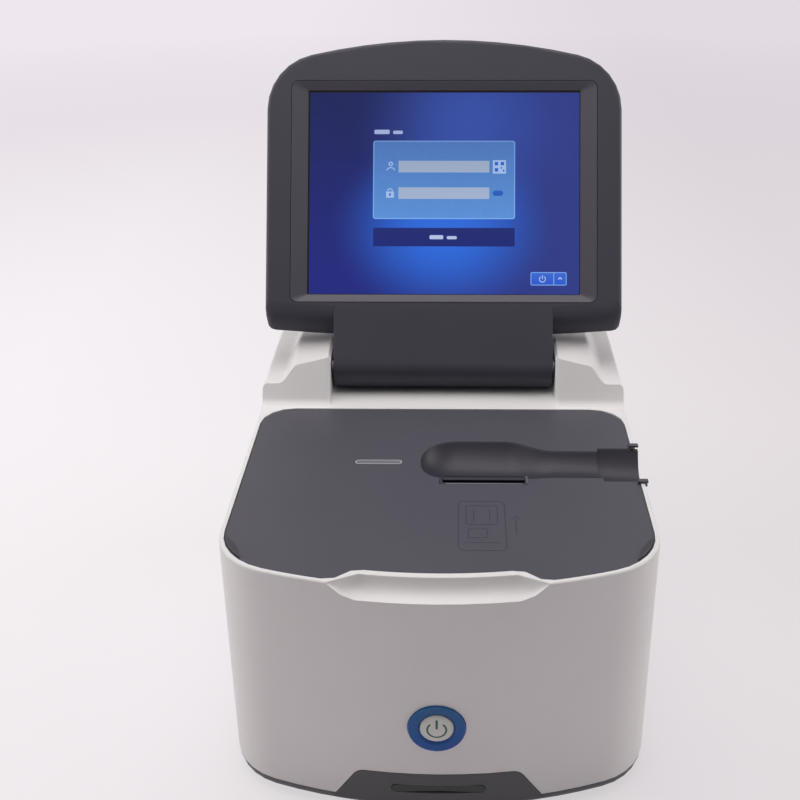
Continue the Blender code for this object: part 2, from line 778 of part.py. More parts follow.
def tab_outline(grow):
    """Front tab as seen from ahead: sloping ends and round upper corners."""
    low = HOUSING_FOOT - WALL
    slope = math.degrees(math.atan2(TAB_TOP - HOUSING_FOOT, TAB_HALF_FOOT - TAB_HALF_TOP))
    radius = TAB_ROUND + grow
    top = TAB_TOP + grow
    centre_x = TAB_HALF_TOP - TAB_ROUND
    right = arc(centre_x, top - radius, radius, 90 - slope, 90, 5)
    foot = (TAB_HALF_FOOT + grow, low)
    return [foot] + right + [(-x, z) for x, z in reversed(right)] + [(-foot[0], foot[1])]


bm = bmesh.new()
rings = []
for a in (0, 30, 60, 90):
    turn = math.radians(a)
    rings.append(base_ring(
        base_bottom + BASE_ROUND * (1 - math.cos(turn)),
        BASE_INSET + BASE_ROUND * (1 - math.sin(turn)),
    ))
rings.append(base_ring(base_top, BASE_INSET))
loft(bm, rings)
base_tray = piece("base_tray", bm, BASE_ABS)

bm = bmesh.new()
loft(bm, [base_ring(base_top - WALL, tongue_inset), base_ring(base_top + TONGUE_HEIGHT, tongue_inset)])
tongue = tool("tongue_lump", bm)
bm = bmesh.new()
loft(bm, [base_ring(base_floor_top, tray_inset), base_ring(TAB_TOP + OVERRUN, tray_inset)])
tray_cutter = tool("tray_cutter", bm)
bm = bmesh.new()
loft(bm, [base_ring(base_top - WALL, 0.0), base_ring(TAB_TOP + WALL, 0.0)])
tab = tool("tab_lump", bm)
bm = bmesh.new()
prism(bm, tab_outline(0.0), "Y", FRONT_Y - OVERRUN, FRONT_Y + FRONT_CORNER)
combine(tab, tool("tab_shape", bm), "INTERSECT")
bm = bmesh.new()
prism(bm, tab_outline(TAB_GAP), "Y", FRONT_Y - OVERRUN, FRONT_Y + FRONT_CORNER)
carve(tab, tray_cutter)
tab_notch = tool("tab_notch_cutter", bm)
carve(upper_housing, tab_notch)

bm = bmesh.new()
window_radius = (WINDOW_HIGH - WINDOW_LOW) * PILL_ROUND_SHARE
window_outline = rounded(-WINDOW_HALF, WINDOW_LOW, WINDOW_HALF, WINDOW_HIGH, window_radius)
prism(bm, window_outline, "Y", FRONT_Y - OVERRUN, FRONT_Y + FRONT_CORNER)
window_cutter = tool("window_cutter", bm)

bay_low = (BAY_SIDE - HALF_WIDTH, HINGE_Y - BAY_FRONT)
bay_high = (-BAY_INNER, HINGE_Y - BAY_FRONT + BAY_LENGTH)
bay_roof = base_bottom + BAY_HEIGHT
bm = bmesh.new()
block(
    bm,
    (bay_low[0] - BAY_WALL, bay_low[1] - BAY_WALL, base_bottom + BASE_FLOOR / 2),
    (bay_high[0] + BAY_WALL, bay_high[1] + BAY_WALL, bay_roof + BAY_WALL),
)
bay_lump = tool("bay_lump", bm)
bm = bmesh.new()
block(bm, (*bay_low, base_bottom - OVERRUN), (*bay_high, bay_roof))
bay_cutter = tool("bay_cutter", bm)
bm = bmesh.new()
block(
    bm,
    (bay_low[0] - DOOR_LIP, bay_low[1] - DOOR_LIP, base_bottom - OVERRUN),
    (bay_high[0] + DOOR_LIP, bay_high[1] + DOOR_LIP, base_bottom + DOOR_THICKNESS + GAP),
)
door_recess = tool("door_recess_cutter", bm)

column_places = (FRONT_Y + COLUMN_TO_FRONT, REAR_Y - COLUMN_TO_REAR)
column_sites = [(side * (HALF_WIDTH - COLUMN_TO_SIDE), y) for side in (1, -1) for y in column_places]
bm = bmesh.new()
for x, y in column_sites:
    side = math.copysign(1, x)
    outer = side * (HALF_WIDTH - WALL / 2)
    low_x, high_x = sorted((x - side * COLUMN_RADIUS, outer))
    low = (low_x, y - COLUMN_RADIUS, COLUMN_FOOT)
    block(bm, low, (high_x, y + COLUMN_RADIUS, SHELF_UNDER + WALL / 2))
columns = tool("screw_columns", bm)
bm = bmesh.new()
for x, y in column_sites:
    rod(bm, "Z", x, y, SCREW_RADIUS + GAP, COLUMN_FOOT - OVERRUN, COLUMN_FOOT + OVERRUN, 10)
column_bores = tool("column_bores", bm)
fuse(upper_housing, columns)
carve(upper_housing, column_bores)


# Internal layout, as places from the hinge (along) and the middle plane (across)
BOARD_THICKNESS = 0.0016
POST_RADIUS = 0.0035
MAIN_LEFT = -0.008
MAIN_TO_SIDE = 0.0155
MAIN_FRONT = 0.068
MAIN_TO_REAR = 0.007
MAIN_LEVEL = 0.018
POWER_MARGIN = 0.006
POWER_LIFT = 0.006
CHASSIS_LEFT = -0.014
CHASSIS_RIGHT = 0.062
CHASSIS_FRONT = 0.150
CHASSIS_REAR = 0.092
CHASSIS_LEVEL = 0.014
CHASSIS_SHEET = 0.0025
SCANNER_HALF = 0.020
SCANNER_DEPTH = 0.018
SCANNER_HEIGHT = 0.014
SCANNER_BACK = 0.0035
SPEAKER_X = -0.062
SPEAKER_TO_FRONT = 0.0738
SPEAKER_RADIUS = 0.014
SPEAKER_HEIGHT = 0.008
FOOT_RADIUS = 0.0085
FOOT_TO_SIDE = 0.0255
FOOT_TO_FRONT = 0.0478
FOOT_TO_REAR = 0.019
FOOT_SPIGOT = 0.0035
POST_INSET = 0.006

main_low = (MAIN_LEFT, HINGE_Y - MAIN_FRONT)
main_high = (HALF_WIDTH - MAIN_TO_SIDE, REAR_Y - MAIN_TO_REAR)
chassis_low = (CHASSIS_LEFT, HINGE_Y - CHASSIS_FRONT)
chassis_high = (CHASSIS_RIGHT, HINGE_Y - CHASSIS_REAR)
power_low = (bay_low[0] + POWER_MARGIN, bay_low[1] + POWER_MARGIN)
power_high = (bay_high[0] - POWER_MARGIN, bay_high[1] - POWER_MARGIN)
power_level = bay_roof + BAY_WALL + POWER_LIFT
scanner_front = FRONT_Y + tray_inset + SCANNER_BACK
scanner_mid_z = (WINDOW_LOW + WINDOW_HIGH) / 2
scanner_low_z = scanner_mid_z - SCANNER_HEIGHT / 2
speaker_y = FRONT_Y + SPEAKER_TO_FRONT


def corners(low, high, inset):
    return [(x, y) for x in (low[0] + inset, high[0] - inset) for y in (low[1] + inset, high[1] - inset)]


bm = bmesh.new()
sunk = base_floor_top - BASE_FLOOR / 2
for x, y in corners(main_low, main_high, POST_INSET):
    rod(bm, "Z", x, y, POST_RADIUS, sunk, MAIN_LEVEL - GAP, 8)
for x, y in corners(chassis_low, chassis_high, POST_INSET):
    rod(bm, "Z", x, y, POST_RADIUS, sunk, CHASSIS_LEVEL - GAP, 8)
for x, y in corners(power_low, power_high, POST_RADIUS):
    rod(bm, "Z", x, y, POST_RADIUS, bay_roof + BAY_WALL / 2, power_level - GAP, 8)
for x, y in column_sites:
    rod(bm, "Z", x, y, COLUMN_RADIUS, sunk, COLUMN_FOOT - GAP, 12)
block(
    bm,
    (-SCANNER_HALF, scanner_front, sunk),
    (SCANNER_HALF, scanner_front + SCANNER_DEPTH, scanner_low_z - GAP),
)
posts = tool("base_posts", bm)
bm = bmesh.new()
for x, y in column_sites:
    rod(bm, "Z", x, y, SCREW_HEAD + GAP, base_bottom - OVERRUN, base_floor_top, 12)
foot_places = (FRONT_Y + FOOT_TO_FRONT, REAR_Y - FOOT_TO_REAR)
foot_sites = [(side * (HALF_WIDTH - FOOT_TO_SIDE), y) for side in (1, -1) for y in foot_places]
for x, y in foot_sites:
    rod(bm, "Z", x, y, FOOT_SPIGOT, base_bottom - OVERRUN, base_floor_top + OVERRUN, 10)
base_bores = tool("base_bores", bm)
bm = bmesh.new()
for x, y in column_sites:
    rod(bm, "Z", x, y, SCREW_RADIUS + GAP, base_floor_top - OVERRUN / 2, COLUMN_FOOT + OVERRUN, 10)
shank_bores = tool("base_shank_bores", bm)

fuse(base_tray, tongue)
carve(base_tray, tray_cutter)
fuse(base_tray, tab, bay_lump, posts)
carve(base_tray, window_cutter, bay_cutter, door_recess, base_bores, shank_bores)


# Rubber feet: turned pads whose spigots press into the tray's floor
FOOT_WAIST = 0.0009
for (x, y), label in zip(foot_sites, ("front_right", "rear_right", "front_left", "rear_left")):
    bm = bmesh.new()
    spigot = FOOT_SPIGOT - GAP
    stations = [
        (0.0, FOOT_RADIUS - FOOT_WAIST),
        (FOOT_WAIST, FOOT_RADIUS),
        (FOOT_HEIGHT - GAP, FOOT_RADIUS),
        (FOOT_HEIGHT - GAP, spigot),
        (base_floor_top, spigot),
    ]
    turned(bm, "Z", x, y, stations, 12)
    piece("foot_" + label, bm, RUBBER)


# Battery: wrapped cell pack in the bay under the tray, held by a screwed door
PACK_CLEARANCE = 0.0012
PACK_ROUND = 0.004
door_top = base_bottom + DOOR_THICKNESS
bm = bmesh.new()
pack_low = door_top + GAP
pack_high = bay_roof - GAP
prism(
    bm,
    rounded(bay_low[0] + PACK_CLEARANCE, pack_low, bay_high[0] - PACK_CLEARANCE, pack_high, PACK_ROUND, 3),
    "Y",
    bay_low[1] + PACK_CLEARANCE,
    bay_high[1] - PACK_CLEARANCE,
)
piece("battery_pack", bm, BATTERY_WRAP)

bm = bmesh.new()
door_edge = DOOR_LIP - GAP
block(
    bm,
    (bay_low[0] - door_edge, bay_low[1] - door_edge, base_bottom + GAP),
    (bay_high[0] + door_edge, bay_high[1] + door_edge, door_top),
)
piece("battery_door", bm, BASE_ABS)


# Power switch: blue light ring, sprung cap and the tact switch behind them
BUTTON_X = -0.0007
BUTTON_DROP_SHARE = 0.582
RING_RADIUS = 0.0153
RING_INNER = 0.0093
RING_DEPTH = 0.0050
RING_FLANGE = 0.0020
CAP_CLEARANCE = 0.0004
CAP_DOME = 0.0010
CAP_DEPTH = 0.0085
CAP_STEM = 0.0035
CAP_TRAVEL = 0.0012
SWITCH_HALF = 0.006
SWITCH_DEPTH = 0.0035
BRACKET_HALF = 0.026


def bow_at(x):
    """How far the bowed front has fallen back at this place across it."""
    return FRONT_ARC - math.sqrt(FRONT_ARC**2 - x**2)


button_z = DECK_Z - DECK_HEIGHT * BUTTON_DROP_SHARE
ring_back = FRONT_Y + RING_DEPTH
bm = bmesh.new()
ring_seat = FRONT_Y + WALL + GAP + bow_at(RING_RADIUS + RING_FLANGE - BUTTON_X)
ring_stations = [
    (FRONT_Y - BUTTON_PROUD, RING_RADIUS - 2 * GAP),
    (FRONT_Y - BUTTON_PROUD / 2, RING_RADIUS - GAP),
    (ring_seat, RING_RADIUS - GAP),
    (ring_seat, RING_RADIUS + RING_FLANGE),
    (ring_back, RING_RADIUS + RING_FLANGE),
]
turned(bm, "Y", BUTTON_X, button_z, ring_stations, 32)
power_ring = piece("power_light_ring", bm, BLUE_LENS)
bm = bmesh.new()
dish = RING_INNER + BUTTON_PROUD
turned(
    bm,
    "Y",
    BUTTON_X,
    button_z,
    [
        (FRONT_Y - OVERRUN, dish),
        (FRONT_Y - BUTTON_PROUD, dish),
        (FRONT_Y, RING_INNER),
        (ring_back + OVERRUN, RING_INNER),
    ],
    24,
)
carve(power_ring, tool("ring_bore", bm))
bm = bmesh.new()
rod(bm, "Y", BUTTON_X, button_z, RING_RADIUS, FRONT_Y - OVERRUN, FRONT_Y + FRONT_CORNER, 32)
carve(upper_housing, tool("button_hole_cutter", bm))

bm = bmesh.new()
cap_radius = RING_INNER - CAP_CLEARANCE
cap_face = FRONT_Y - BUTTON_PROUD
cap_back = FRONT_Y + CAP_DEPTH
turned(
    bm,
    "Y",
    BUTTON_X,
    button_z,
    [
        (cap_face, cap_radius / 2),
        (cap_face + CAP_DOME / 3, cap_radius - CAP_DOME),
        (cap_face + CAP_DOME, cap_radius),
        (ring_back + CAP_TRAVEL, cap_radius),
        (ring_back + CAP_TRAVEL, CAP_STEM),
        (cap_back, CAP_STEM),
    ],
    24,
)
piece("power_button_cap", bm, CAP_PLASTIC, pivot("power_button_axis", BUTTON_X, cap_face, button_z))

bm = bmesh.new()
switch_face = cap_back + CAP_TRAVEL + GAP
switch_back = switch_face + SWITCH_DEPTH
block(
    bm,
    (BUTTON_X - SWITCH_HALF, switch_face, button_z - SWITCH_HALF),
    (BUTTON_X + SWITCH_HALF, switch_back, button_z + SWITCH_HALF),
)
switch_lump = tool("power_switch", bm)

bm = bmesh.new()
bracket_face = switch_back - GAP
block(
    bm,
    (BUTTON_X - BRACKET_HALF, bracket_face, button_z - SWITCH_HALF - GAP),
    (BUTTON_X + BRACKET_HALF, bracket_face + BOARD_THICKNESS, button_z + SWITCH_HALF),
)
switch_board = piece("power_switch_board", bm, GREEN_BOARD)
fuse(switch_board, switch_lump)
bm = bmesh.new()
for side in (1, -1):
    x = BUTTON_X + side * (BRACKET_HALF - POST_RADIUS)
    rod(bm, "Y", x, button_z, POST_RADIUS, FRONT_Y + WALL / 2, bracket_face - GAP, 8)
fuse(upper_housing, tool("switch_posts", bm))


# Code reader at the foot of the front: smoked window and the module behind it
bm = bmesh.new()
pane_half = WINDOW_HALF - GAP
pane = rounded(-pane_half, WINDOW_LOW + GAP, pane_half, WINDOW_HIGH - GAP, window_radius - GAP)
prism(bm, pane, "Y", FRONT_Y + bow_at(WINDOW_HALF) - GAP, FRONT_Y + tray_inset)
piece("reader_window", bm, SMOKED)
bm = bmesh.new()
block(
    bm,
    (-SCANNER_HALF, scanner_front, scanner_low_z),
    (SCANNER_HALF, scanner_front + SCANNER_DEPTH, scanner_low_z + SCANNER_HEIGHT),
)
piece("reader_module", bm, BLACK_PART)


# Speaker: round can on the tray's floor
bm = bmesh.new()
speaker_seat = base_floor_top + GAP
turned(
    bm,
    "Z",
    SPEAKER_X,
    speaker_y,
    [
        (speaker_seat, SPEAKER_RADIUS),
        (speaker_seat + SPEAKER_HEIGHT / 2, SPEAKER_RADIUS),
        (speaker_seat + SPEAKER_HEIGHT / 2, SPEAKER_RADIUS / 2),
        (speaker_seat + SPEAKER_HEIGHT, SPEAKER_RADIUS / 2),
    ],
    16,
)
piece("speaker", bm, BLACK_PART)


# Circuit boards: fibreglass sheets with their larger components
CHIP_HALF = 0.012
CHIP_HEIGHT = 0.0022
CAN_RADIUS = 0.006
CAN_HEIGHT = 0.014


def board(name, low, high, level, chips, cans):
    """Sheet with square chips and upright capacitors at share places over it."""
    made_mesh = bmesh.new()
    block(made_mesh, (*low, level), (*high, level + BOARD_THICKNESS))
    made = piece(name, made_mesh, GREEN_BOARD)
    lumps = bmesh.new()
    root = level + BOARD_THICKNESS / 2
    top = level + BOARD_THICKNESS
    for u, v in chips:
        x = low[0] + (high[0] - low[0]) * u
        y = low[1] + (high[1] - low[1]) * v
        low_corner = (x - CHIP_HALF, y - CHIP_HALF, root)
        block(lumps, low_corner, (x + CHIP_HALF, y + CHIP_HALF, top + CHIP_HEIGHT))
    for u, v in cans:
        x = low[0] + (high[0] - low[0]) * u
        y = low[1] + (high[1] - low[1]) * v
        rod(lumps, "Z", x, y, CAN_RADIUS, root, top + CAN_HEIGHT, 10)
    fuse(made, tool(name + "_components", lumps))
    return made


main_chip_shares = ((0.25, 0.30), (0.65, 0.35), (0.35, 0.65))
main_can_shares = ((0.85, 0.12),)
power_chip_shares = ((0.30, 0.65),)
power_can_shares = ((0.70, 0.25), (0.70, 0.50), (0.70, 0.75), (0.35, 0.20))
board("main_board", main_low, main_high, MAIN_LEVEL, main_chip_shares, main_can_shares)
board("power_board", power_low, power_high, power_level, power_chip_shares, power_can_shares)


# Rear sockets on the main board: two stacked USB, a network jack and the DC inlet
SOCKET_DEPTH = 0.016
SOCKET_SKIN = 0.0010
USB_TO_LAN = 0.028
USB_WIDTH = 0.0145
USB_HEIGHT = 0.0155
USB_MOUTH_WIDTH = 0.0125
USB_MOUTH_HEIGHT = 0.0052
LAN_TO_DC = 0.030
LAN_WIDTH = 0.0160
LAN_HEIGHT = 0.0135
LAN_MOUTH_WIDTH = 0.0117
LAN_MOUTH_HEIGHT = 0.0085
DC_TO_SIDE = 0.0355
DC_WIDTH = 0.0140
DC_HEIGHT = 0.0140
DC_BORE = 0.0046
DC_PIN = 0.0012
SOCKET_GAP = 0.0005

dc_x = HALF_WIDTH - DC_TO_SIDE
lan_x = dc_x - LAN_TO_DC
usb_x = lan_x - USB_TO_LAN
socket_floor = MAIN_LEVEL + BOARD_THICKNESS + GAP
socket_face = REAR_Y - SOCKET_SKIN
socket_back = socket_face - SOCKET_DEPTH
rear_ports = bmesh.new()


def socket(name, x, width, height, material, mouths, bores=()):
    """Shielded jack: a block with blind mouths, and its own cut-out in the rear wall."""
    made_mesh = bmesh.new()
    low = (x - width / 2, socket_back, socket_floor)
    high = (x + width / 2, socket_face, socket_floor + height)
    block(made_mesh, low, high)
    made = piece(name, made_mesh, material)
    cutter = bmesh.new()
    for centre_z, mouth_width, mouth_height in mouths:
        block(
            cutter,
            (x - mouth_width / 2, socket_back + SOCKET_SKIN, centre_z - mouth_height / 2),
            (x + mouth_width / 2, socket_face + OVERRUN, centre_z + mouth_height / 2),
        )
    for centre_z, radius in bores:
        rod(cutter, "Y", x, centre_z, radius, socket_back + SOCKET_SKIN, socket_face + OVERRUN, 12)
    carve(made, tool(name + "_mouths", cutter))
    block(
        rear_ports,
        (low[0] - SOCKET_GAP, REAR_Y - REAR_CORNER / 2, low[2] - SOCKET_GAP),
        (high[0] + SOCKET_GAP, REAR_Y + OVERRUN, high[2] + SOCKET_GAP),
    )
    return made


usb_low = socket_floor + USB_HEIGHT / 4
usb_high = socket_floor + USB_HEIGHT * 3 / 4
socket(
    "usb_socket",
    usb_x,
    USB_WIDTH,
    USB_HEIGHT,
    STEEL,
    ((usb_low, USB_MOUTH_WIDTH, USB_MOUTH_HEIGHT), (usb_high, USB_MOUTH_WIDTH, USB_MOUTH_HEIGHT)),
)
lan_mid = socket_floor + LAN_HEIGHT / 2
lan_mouths = ((lan_mid, LAN_MOUTH_WIDTH, LAN_MOUTH_HEIGHT),)
socket("network_socket", lan_x, LAN_WIDTH, LAN_HEIGHT, STEEL, lan_mouths)
dc_mid = socket_floor + DC_HEIGHT / 2
dc_inlet = socket("dc_inlet", dc_x, DC_WIDTH, DC_HEIGHT, BLACK_PART, (), ((dc_mid, DC_BORE),))
bm = bmesh.new()
rod(bm, "Y", dc_x, dc_mid, DC_PIN, socket_back + SOCKET_SKIN / 2, socket_face - SOCKET_SKIN, 6)
fuse(dc_inlet, tool("dc_pin", bm))


# Fan: square frame behind slots in the rear wall, with a seven-blade rotor
FAN_X = -0.0565
FAN_Z = 0.085
FAN_HALF = 0.020
FAN_DEPTH = 0.0100
FAN_BORE = 0.0188
FAN_HUB = 0.0085
FAN_SPIDER = 0.0016
FAN_SPINDLE = 0.0014
BLADE_TIP = 0.0178
BLADE_PITCH = math.radians(38)
BLADE_THICKNESS = 0.0010
BLADE_COUNT = 7
VENT_WIDTH = 0.034
VENT_HEIGHT = 0.0024
VENT_PITCH = 0.0048
VENT_COUNT = 7

fan_back = REAR_Y - WALL - GAP
fan_front = fan_back - FAN_DEPTH
bm = bmesh.new()
prism(
    bm,
    rounded(FAN_X - FAN_HALF, FAN_Z - FAN_HALF, FAN_X + FAN_HALF, FAN_Z + FAN_HALF, FAN_SPIDER, 2),
    "Y",
    fan_front,
    fan_back,
)
fan_frame = piece("fan_frame", bm, BLACK_PART)
bm = bmesh.new()
rod(bm, "Y", FAN_X, FAN_Z, FAN_BORE, fan_front - OVERRUN, fan_back + OVERRUN, 24)
carve(fan_frame, tool("fan_bore", bm))
spider_back = fan_front + FAN_SPIDER
for half_x, half_z, label in (
    (FAN_HALF - FAN_SPIDER / 2, FAN_SPIDER, "fan_arm_across"),
    (FAN_SPIDER, FAN_HALF - FAN_SPIDER / 2, "fan_arm_upright"),
):
    bm = bmesh.new()
    block(bm, (FAN_X - half_x, fan_front, FAN_Z - half_z), (FAN_X + half_x, spider_back, FAN_Z + half_z))
    fuse(fan_frame, tool(label, bm))
bm = bmesh.new()
spindle_end = fan_back - FAN_SPIDER
turned(
    bm,
    "Y",
    FAN_X,
    FAN_Z,
    [
        (fan_front + GAP, FAN_HUB),
        (spider_back + GAP, FAN_HUB),
        (spider_back + GAP, FAN_SPINDLE),
        (spindle_end, FAN_SPINDLE),
    ],
    12,
)
fuse(fan_frame, tool("fan_spindle", bm))

fan_axis = pivot("fan_axis", FAN_X, fan_front, FAN_Z)
hub_low = spider_back + GAP + RUNNING_GAP
hub_high = fan_back - RUNNING_GAP
bm = bmesh.new()
rod(bm, "Y", FAN_X, FAN_Z, FAN_HUB, hub_low, hub_high, 14)
fan_rotor = piece("fan_rotor", bm, BLACK_PART, fan_axis)
bm = bmesh.new()
blade_mid = (hub_low + hub_high) / 2
blade_half = (hub_high - hub_low) / 2 - GAP
for k in range(BLADE_COUNT):
    turn = 2 * math.pi * k / BLADE_COUNT
    rings = []
    for radius, sweep in ((FAN_HUB - FAN_SPINDLE, 0.0), (BLADE_TIP, FAN_SPINDLE)):
        ring = []
        for along, off in ((-1, -1), (1, -1), (1, 1), (-1, 1)):
            deep = along * blade_half
            side = along * blade_half * math.tan(BLADE_PITCH) + off * BLADE_THICKNESS / 2 + sweep
            u = radius * math.cos(turn) - side * math.sin(turn)
            v = radius * math.sin(turn) + side * math.cos(turn)
            ring.append((FAN_X + u, blade_mid + deep, FAN_Z + v))
        rings.append(ring)
    loft(bm, rings)
fuse(fan_rotor, tool("fan_blades", bm))
bm = bmesh.new()
rod(bm, "Y", FAN_X, FAN_Z, FAN_SPINDLE + GAP, fan_front, spindle_end + RUNNING_GAP, 12)
carve(fan_rotor, tool("fan_rotor_bore", bm))

vent_round = VENT_HEIGHT * PILL_ROUND_SHARE
for k in range(VENT_COUNT):
    vent_low = FAN_Z + (k - (VENT_COUNT - 1) / 2) * VENT_PITCH - VENT_HEIGHT / 2
    vent_left = FAN_X - VENT_WIDTH / 2
    slot = rounded(vent_left, vent_low, vent_left + VENT_WIDTH, vent_low + VENT_HEIGHT, vent_round, 2)
    prism(rear_ports, slot, "Y", REAR_Y - REAR_CORNER / 2, REAR_Y + OVERRUN)


# Analysis module: chassis, cartridge guide, heater, contact clamp and their drive
GUIDE_HALF = 0.0334
GUIDE_FRONT = 0.0072
GUIDE_REAR = 0.0068
GUIDE_LOW = 0.066
GUIDE_TOP = 0.0082
CHANNEL_DEPTH = 0.0054
PAD_HALF = 0.0155
PAD_LOW = 0.050
PAD_HIGH = 0.018
HEATER_DEPTH = 0.008
HEATER_FIN = 0.0015
ROD_X = 0.027
ROD_RADIUS = 0.0020
ROD_LEVEL = 0.032
SCREW_LEVEL = 0.057
LEAD_RADIUS = 0.0022
CARRIAGE_REAR = 0.1320
CARRIAGE_DEPTH = 0.006
CARRIAGE_HALF = 0.0315
CONTACT_DEPTH = 0.0045
PIN_RADIUS = 0.0006
PIN_LENGTH = 0.0030
PIN_PITCH = 0.0040
PIN_COUNT = 7
END_PLATE = 0.0030
MOTOR_HALF = 0.010
MOTOR_LENGTH = 0.026
MOTOR_SHAFT = 0.0015

guide_mid = SLOT_X
channel_mid = HINGE_Y - SLOT_REAR - SLOT_DEPTH / 2
guide_low_z = DECK_Z - GUIDE_LOW
guide_top_z = DECK_Z - GUIDE_TOP
guide_front_y = channel_mid - GUIDE_FRONT
guide_rear_y = channel_mid + GUIDE_REAR
pad_low_z = DECK_Z - PAD_LOW
pad_high_z = DECK_Z - PAD_HIGH
rod_z = DECK_Z - ROD_LEVEL
lead_z = DECK_Z - SCREW_LEVEL
cheek_inner = GUIDE_HALF + GAP
cheek_outer = cheek_inner + CHASSIS_SHEET
end_plate_y = HINGE_Y - CHASSIS_FRONT + POST_RADIUS

bm = bmesh.new()
block(bm, (*chassis_low, CHASSIS_LEVEL), (*chassis_high, CHASSIS_LEVEL + CHASSIS_SHEET))
chassis = piece("analysis_chassis", bm, STEEL)
for side, label in ((-1, "left_cheek"), (1, "right_cheek")):
    bm = bmesh.new()
    low_x, high_x = sorted((guide_mid + side * cheek_inner, guide_mid + side * cheek_outer))
    foot_z = CHASSIS_LEVEL + CHASSIS_SHEET / 2
    cheek = [
        (chassis_low[1] + GAP, foot_z),
        (chassis_high[1] - GAP, foot_z),
        (chassis_high[1] - GAP, guide_low_z - POST_RADIUS),
        (guide_rear_y + POST_RADIUS, guide_low_z),
        (guide_rear_y + POST_RADIUS, guide_top_z - 2 * POST_RADIUS),
        (guide_rear_y, guide_top_z - POST_RADIUS),
        (guide_rear_y - POST_RADIUS, guide_top_z),
        (end_plate_y, guide_top_z),
        (chassis_low[1] + GAP, guide_top_z - POST_RADIUS),
    ]
    prism(bm, cheek, "X", low_x, high_x)
    fuse(chassis, tool(label, bm))
bm = bmesh.new()
window_margin = POST_RADIUS * 2
prism(
    bm,
    rounded(
        chassis_low[1] + window_margin,
        CHASSIS_LEVEL + window_margin,
        chassis_high[1] - window_margin,
        guide_low_z - window_margin,
        POST_RADIUS,
        3,
    ),
    "X",
    guide_mid - cheek_outer - OVERRUN,
    guide_mid + cheek_outer + OVERRUN,
)
carve(chassis, tool("cheek_windows", bm))

bm = bmesh.new()
block(
    bm,
    (guide_mid - GUIDE_HALF, guide_front_y, guide_low_z),
    (guide_mid + GUIDE_HALF, guide_rear_y, guide_top_z),
)
guide = piece("cartridge_guide", bm, DARK_ABS)
bm = bmesh.new()
block(bm, (*collar_low, guide_top_z - WALL), (*collar_high, DECK_TOP))
fuse(guide, tool("guide_collar", bm))
bm = bmesh.new()
block(
    bm,
    (slot_low_x, HINGE_Y - slot_front, guide_top_z - GAP),
    (slot_high_x, HINGE_Y - SLOT_REAR, DECK_TOP + OVERRUN),
)
slot_cutter = tool("slot_cutter", bm)
bm = bmesh.new()
channel_low = (slot_low_x, channel_mid - CHANNEL_DEPTH / 2, guide_low_z + WALL)
channel_high = (slot_high_x, channel_mid + CHANNEL_DEPTH / 2, guide_top_z)
block(bm, channel_low, channel_high)
channel_cutter = tool("channel_cutter", bm)
bm = bmesh.new()
block(
    bm,
    (guide_mid - PAD_HALF - RUNNING_GAP, guide_front_y - OVERRUN, pad_low_z - RUNNING_GAP),
    (guide_mid + PAD_HALF + RUNNING_GAP, guide_rear_y + OVERRUN, pad_high_z + RUNNING_GAP),
)
pad_windows = tool("pad_windows", bm)
bm = bmesh.new()
bore_start = guide_front_y - OVERRUN
bore_end = guide_front_y + END_PLATE
for side in (1, -1):
    rod(bm, "Y", guide_mid + side * ROD_X, rod_z, ROD_RADIUS + GAP, bore_start, channel_mid, 10)
rod(bm, "Y", guide_mid, lead_z, LEAD_RADIUS + GAP, bore_start, bore_end, 10)
guide_bores = tool("guide_bores", bm)
carve(guide, trough_cutter, slot_cutter, channel_cutter, pad_windows)

bm = bmesh.new()
heater_face = channel_mid + CHANNEL_DEPTH / 2
heater_seat = guide_rear_y + GAP
block(
    bm,
    (guide_mid - PAD_HALF, heater_face, pad_low_z),
    (guide_mid + PAD_HALF, heater_seat + HEATER_FIN, pad_high_z),
)
heater = piece("heater_block", bm, ALUMINIUM)
bm = bmesh.new()
margin = POST_RADIUS
block(
    bm,
    (guide_mid - PAD_HALF - margin, heater_seat, pad_low_z - margin),
    (guide_mid + PAD_HALF + margin, heater_seat + HEATER_DEPTH, pad_high_z + margin),
)
fuse(heater, tool("heater_back", bm))
bm = bmesh.new()
fin_pitch = 4 * HEATER_FIN
for k in range(-2, 3):
    z = (pad_low_z + pad_high_z) / 2 + k * fin_pitch
    block(
        bm,
        (guide_mid - PAD_HALF - OVERRUN, heater_seat + HEATER_FIN * 2, z - HEATER_FIN),
        (guide_mid + PAD_HALF + OVERRUN, heater_seat + HEATER_DEPTH + OVERRUN, z + HEATER_FIN),
    )
carve(heater, tool("fin_gaps", bm))

clamp_axis = pivot("clamp_axis", guide_mid, HINGE_Y - CARRIAGE_REAR, rod_z)
carriage_rear_y = HINGE_Y - CARRIAGE_REAR
carriage_front_y = carriage_rear_y - CARRIAGE_DEPTH
bm = bmesh.new()
carriage_low_z = lead_z - MOTOR_HALF / 2
block(
    bm,
    (guide_mid - CARRIAGE_HALF, carriage_front_y, carriage_low_z),
    (guide_mid + CARRIAGE_HALF, carriage_rear_y, pad_high_z + margin),
)
carriage = piece("clamp_carriage", bm, ACETAL, clamp_axis)
bore_start = carriage_front_y - OVERRUN
bore_end = carriage_rear_y + OVERRUN
bm = bmesh.new()
for side in (1, -1):
    rod(bm, "Y", guide_mid + side * ROD_X, rod_z, ROD_RADIUS + GAP, bore_start, bore_end, 10)
rod(bm, "Y", guide_mid, lead_z, LEAD_RADIUS + GAP, bore_start, bore_end, 10)
carve(carriage, tool("carriage_bores", bm))

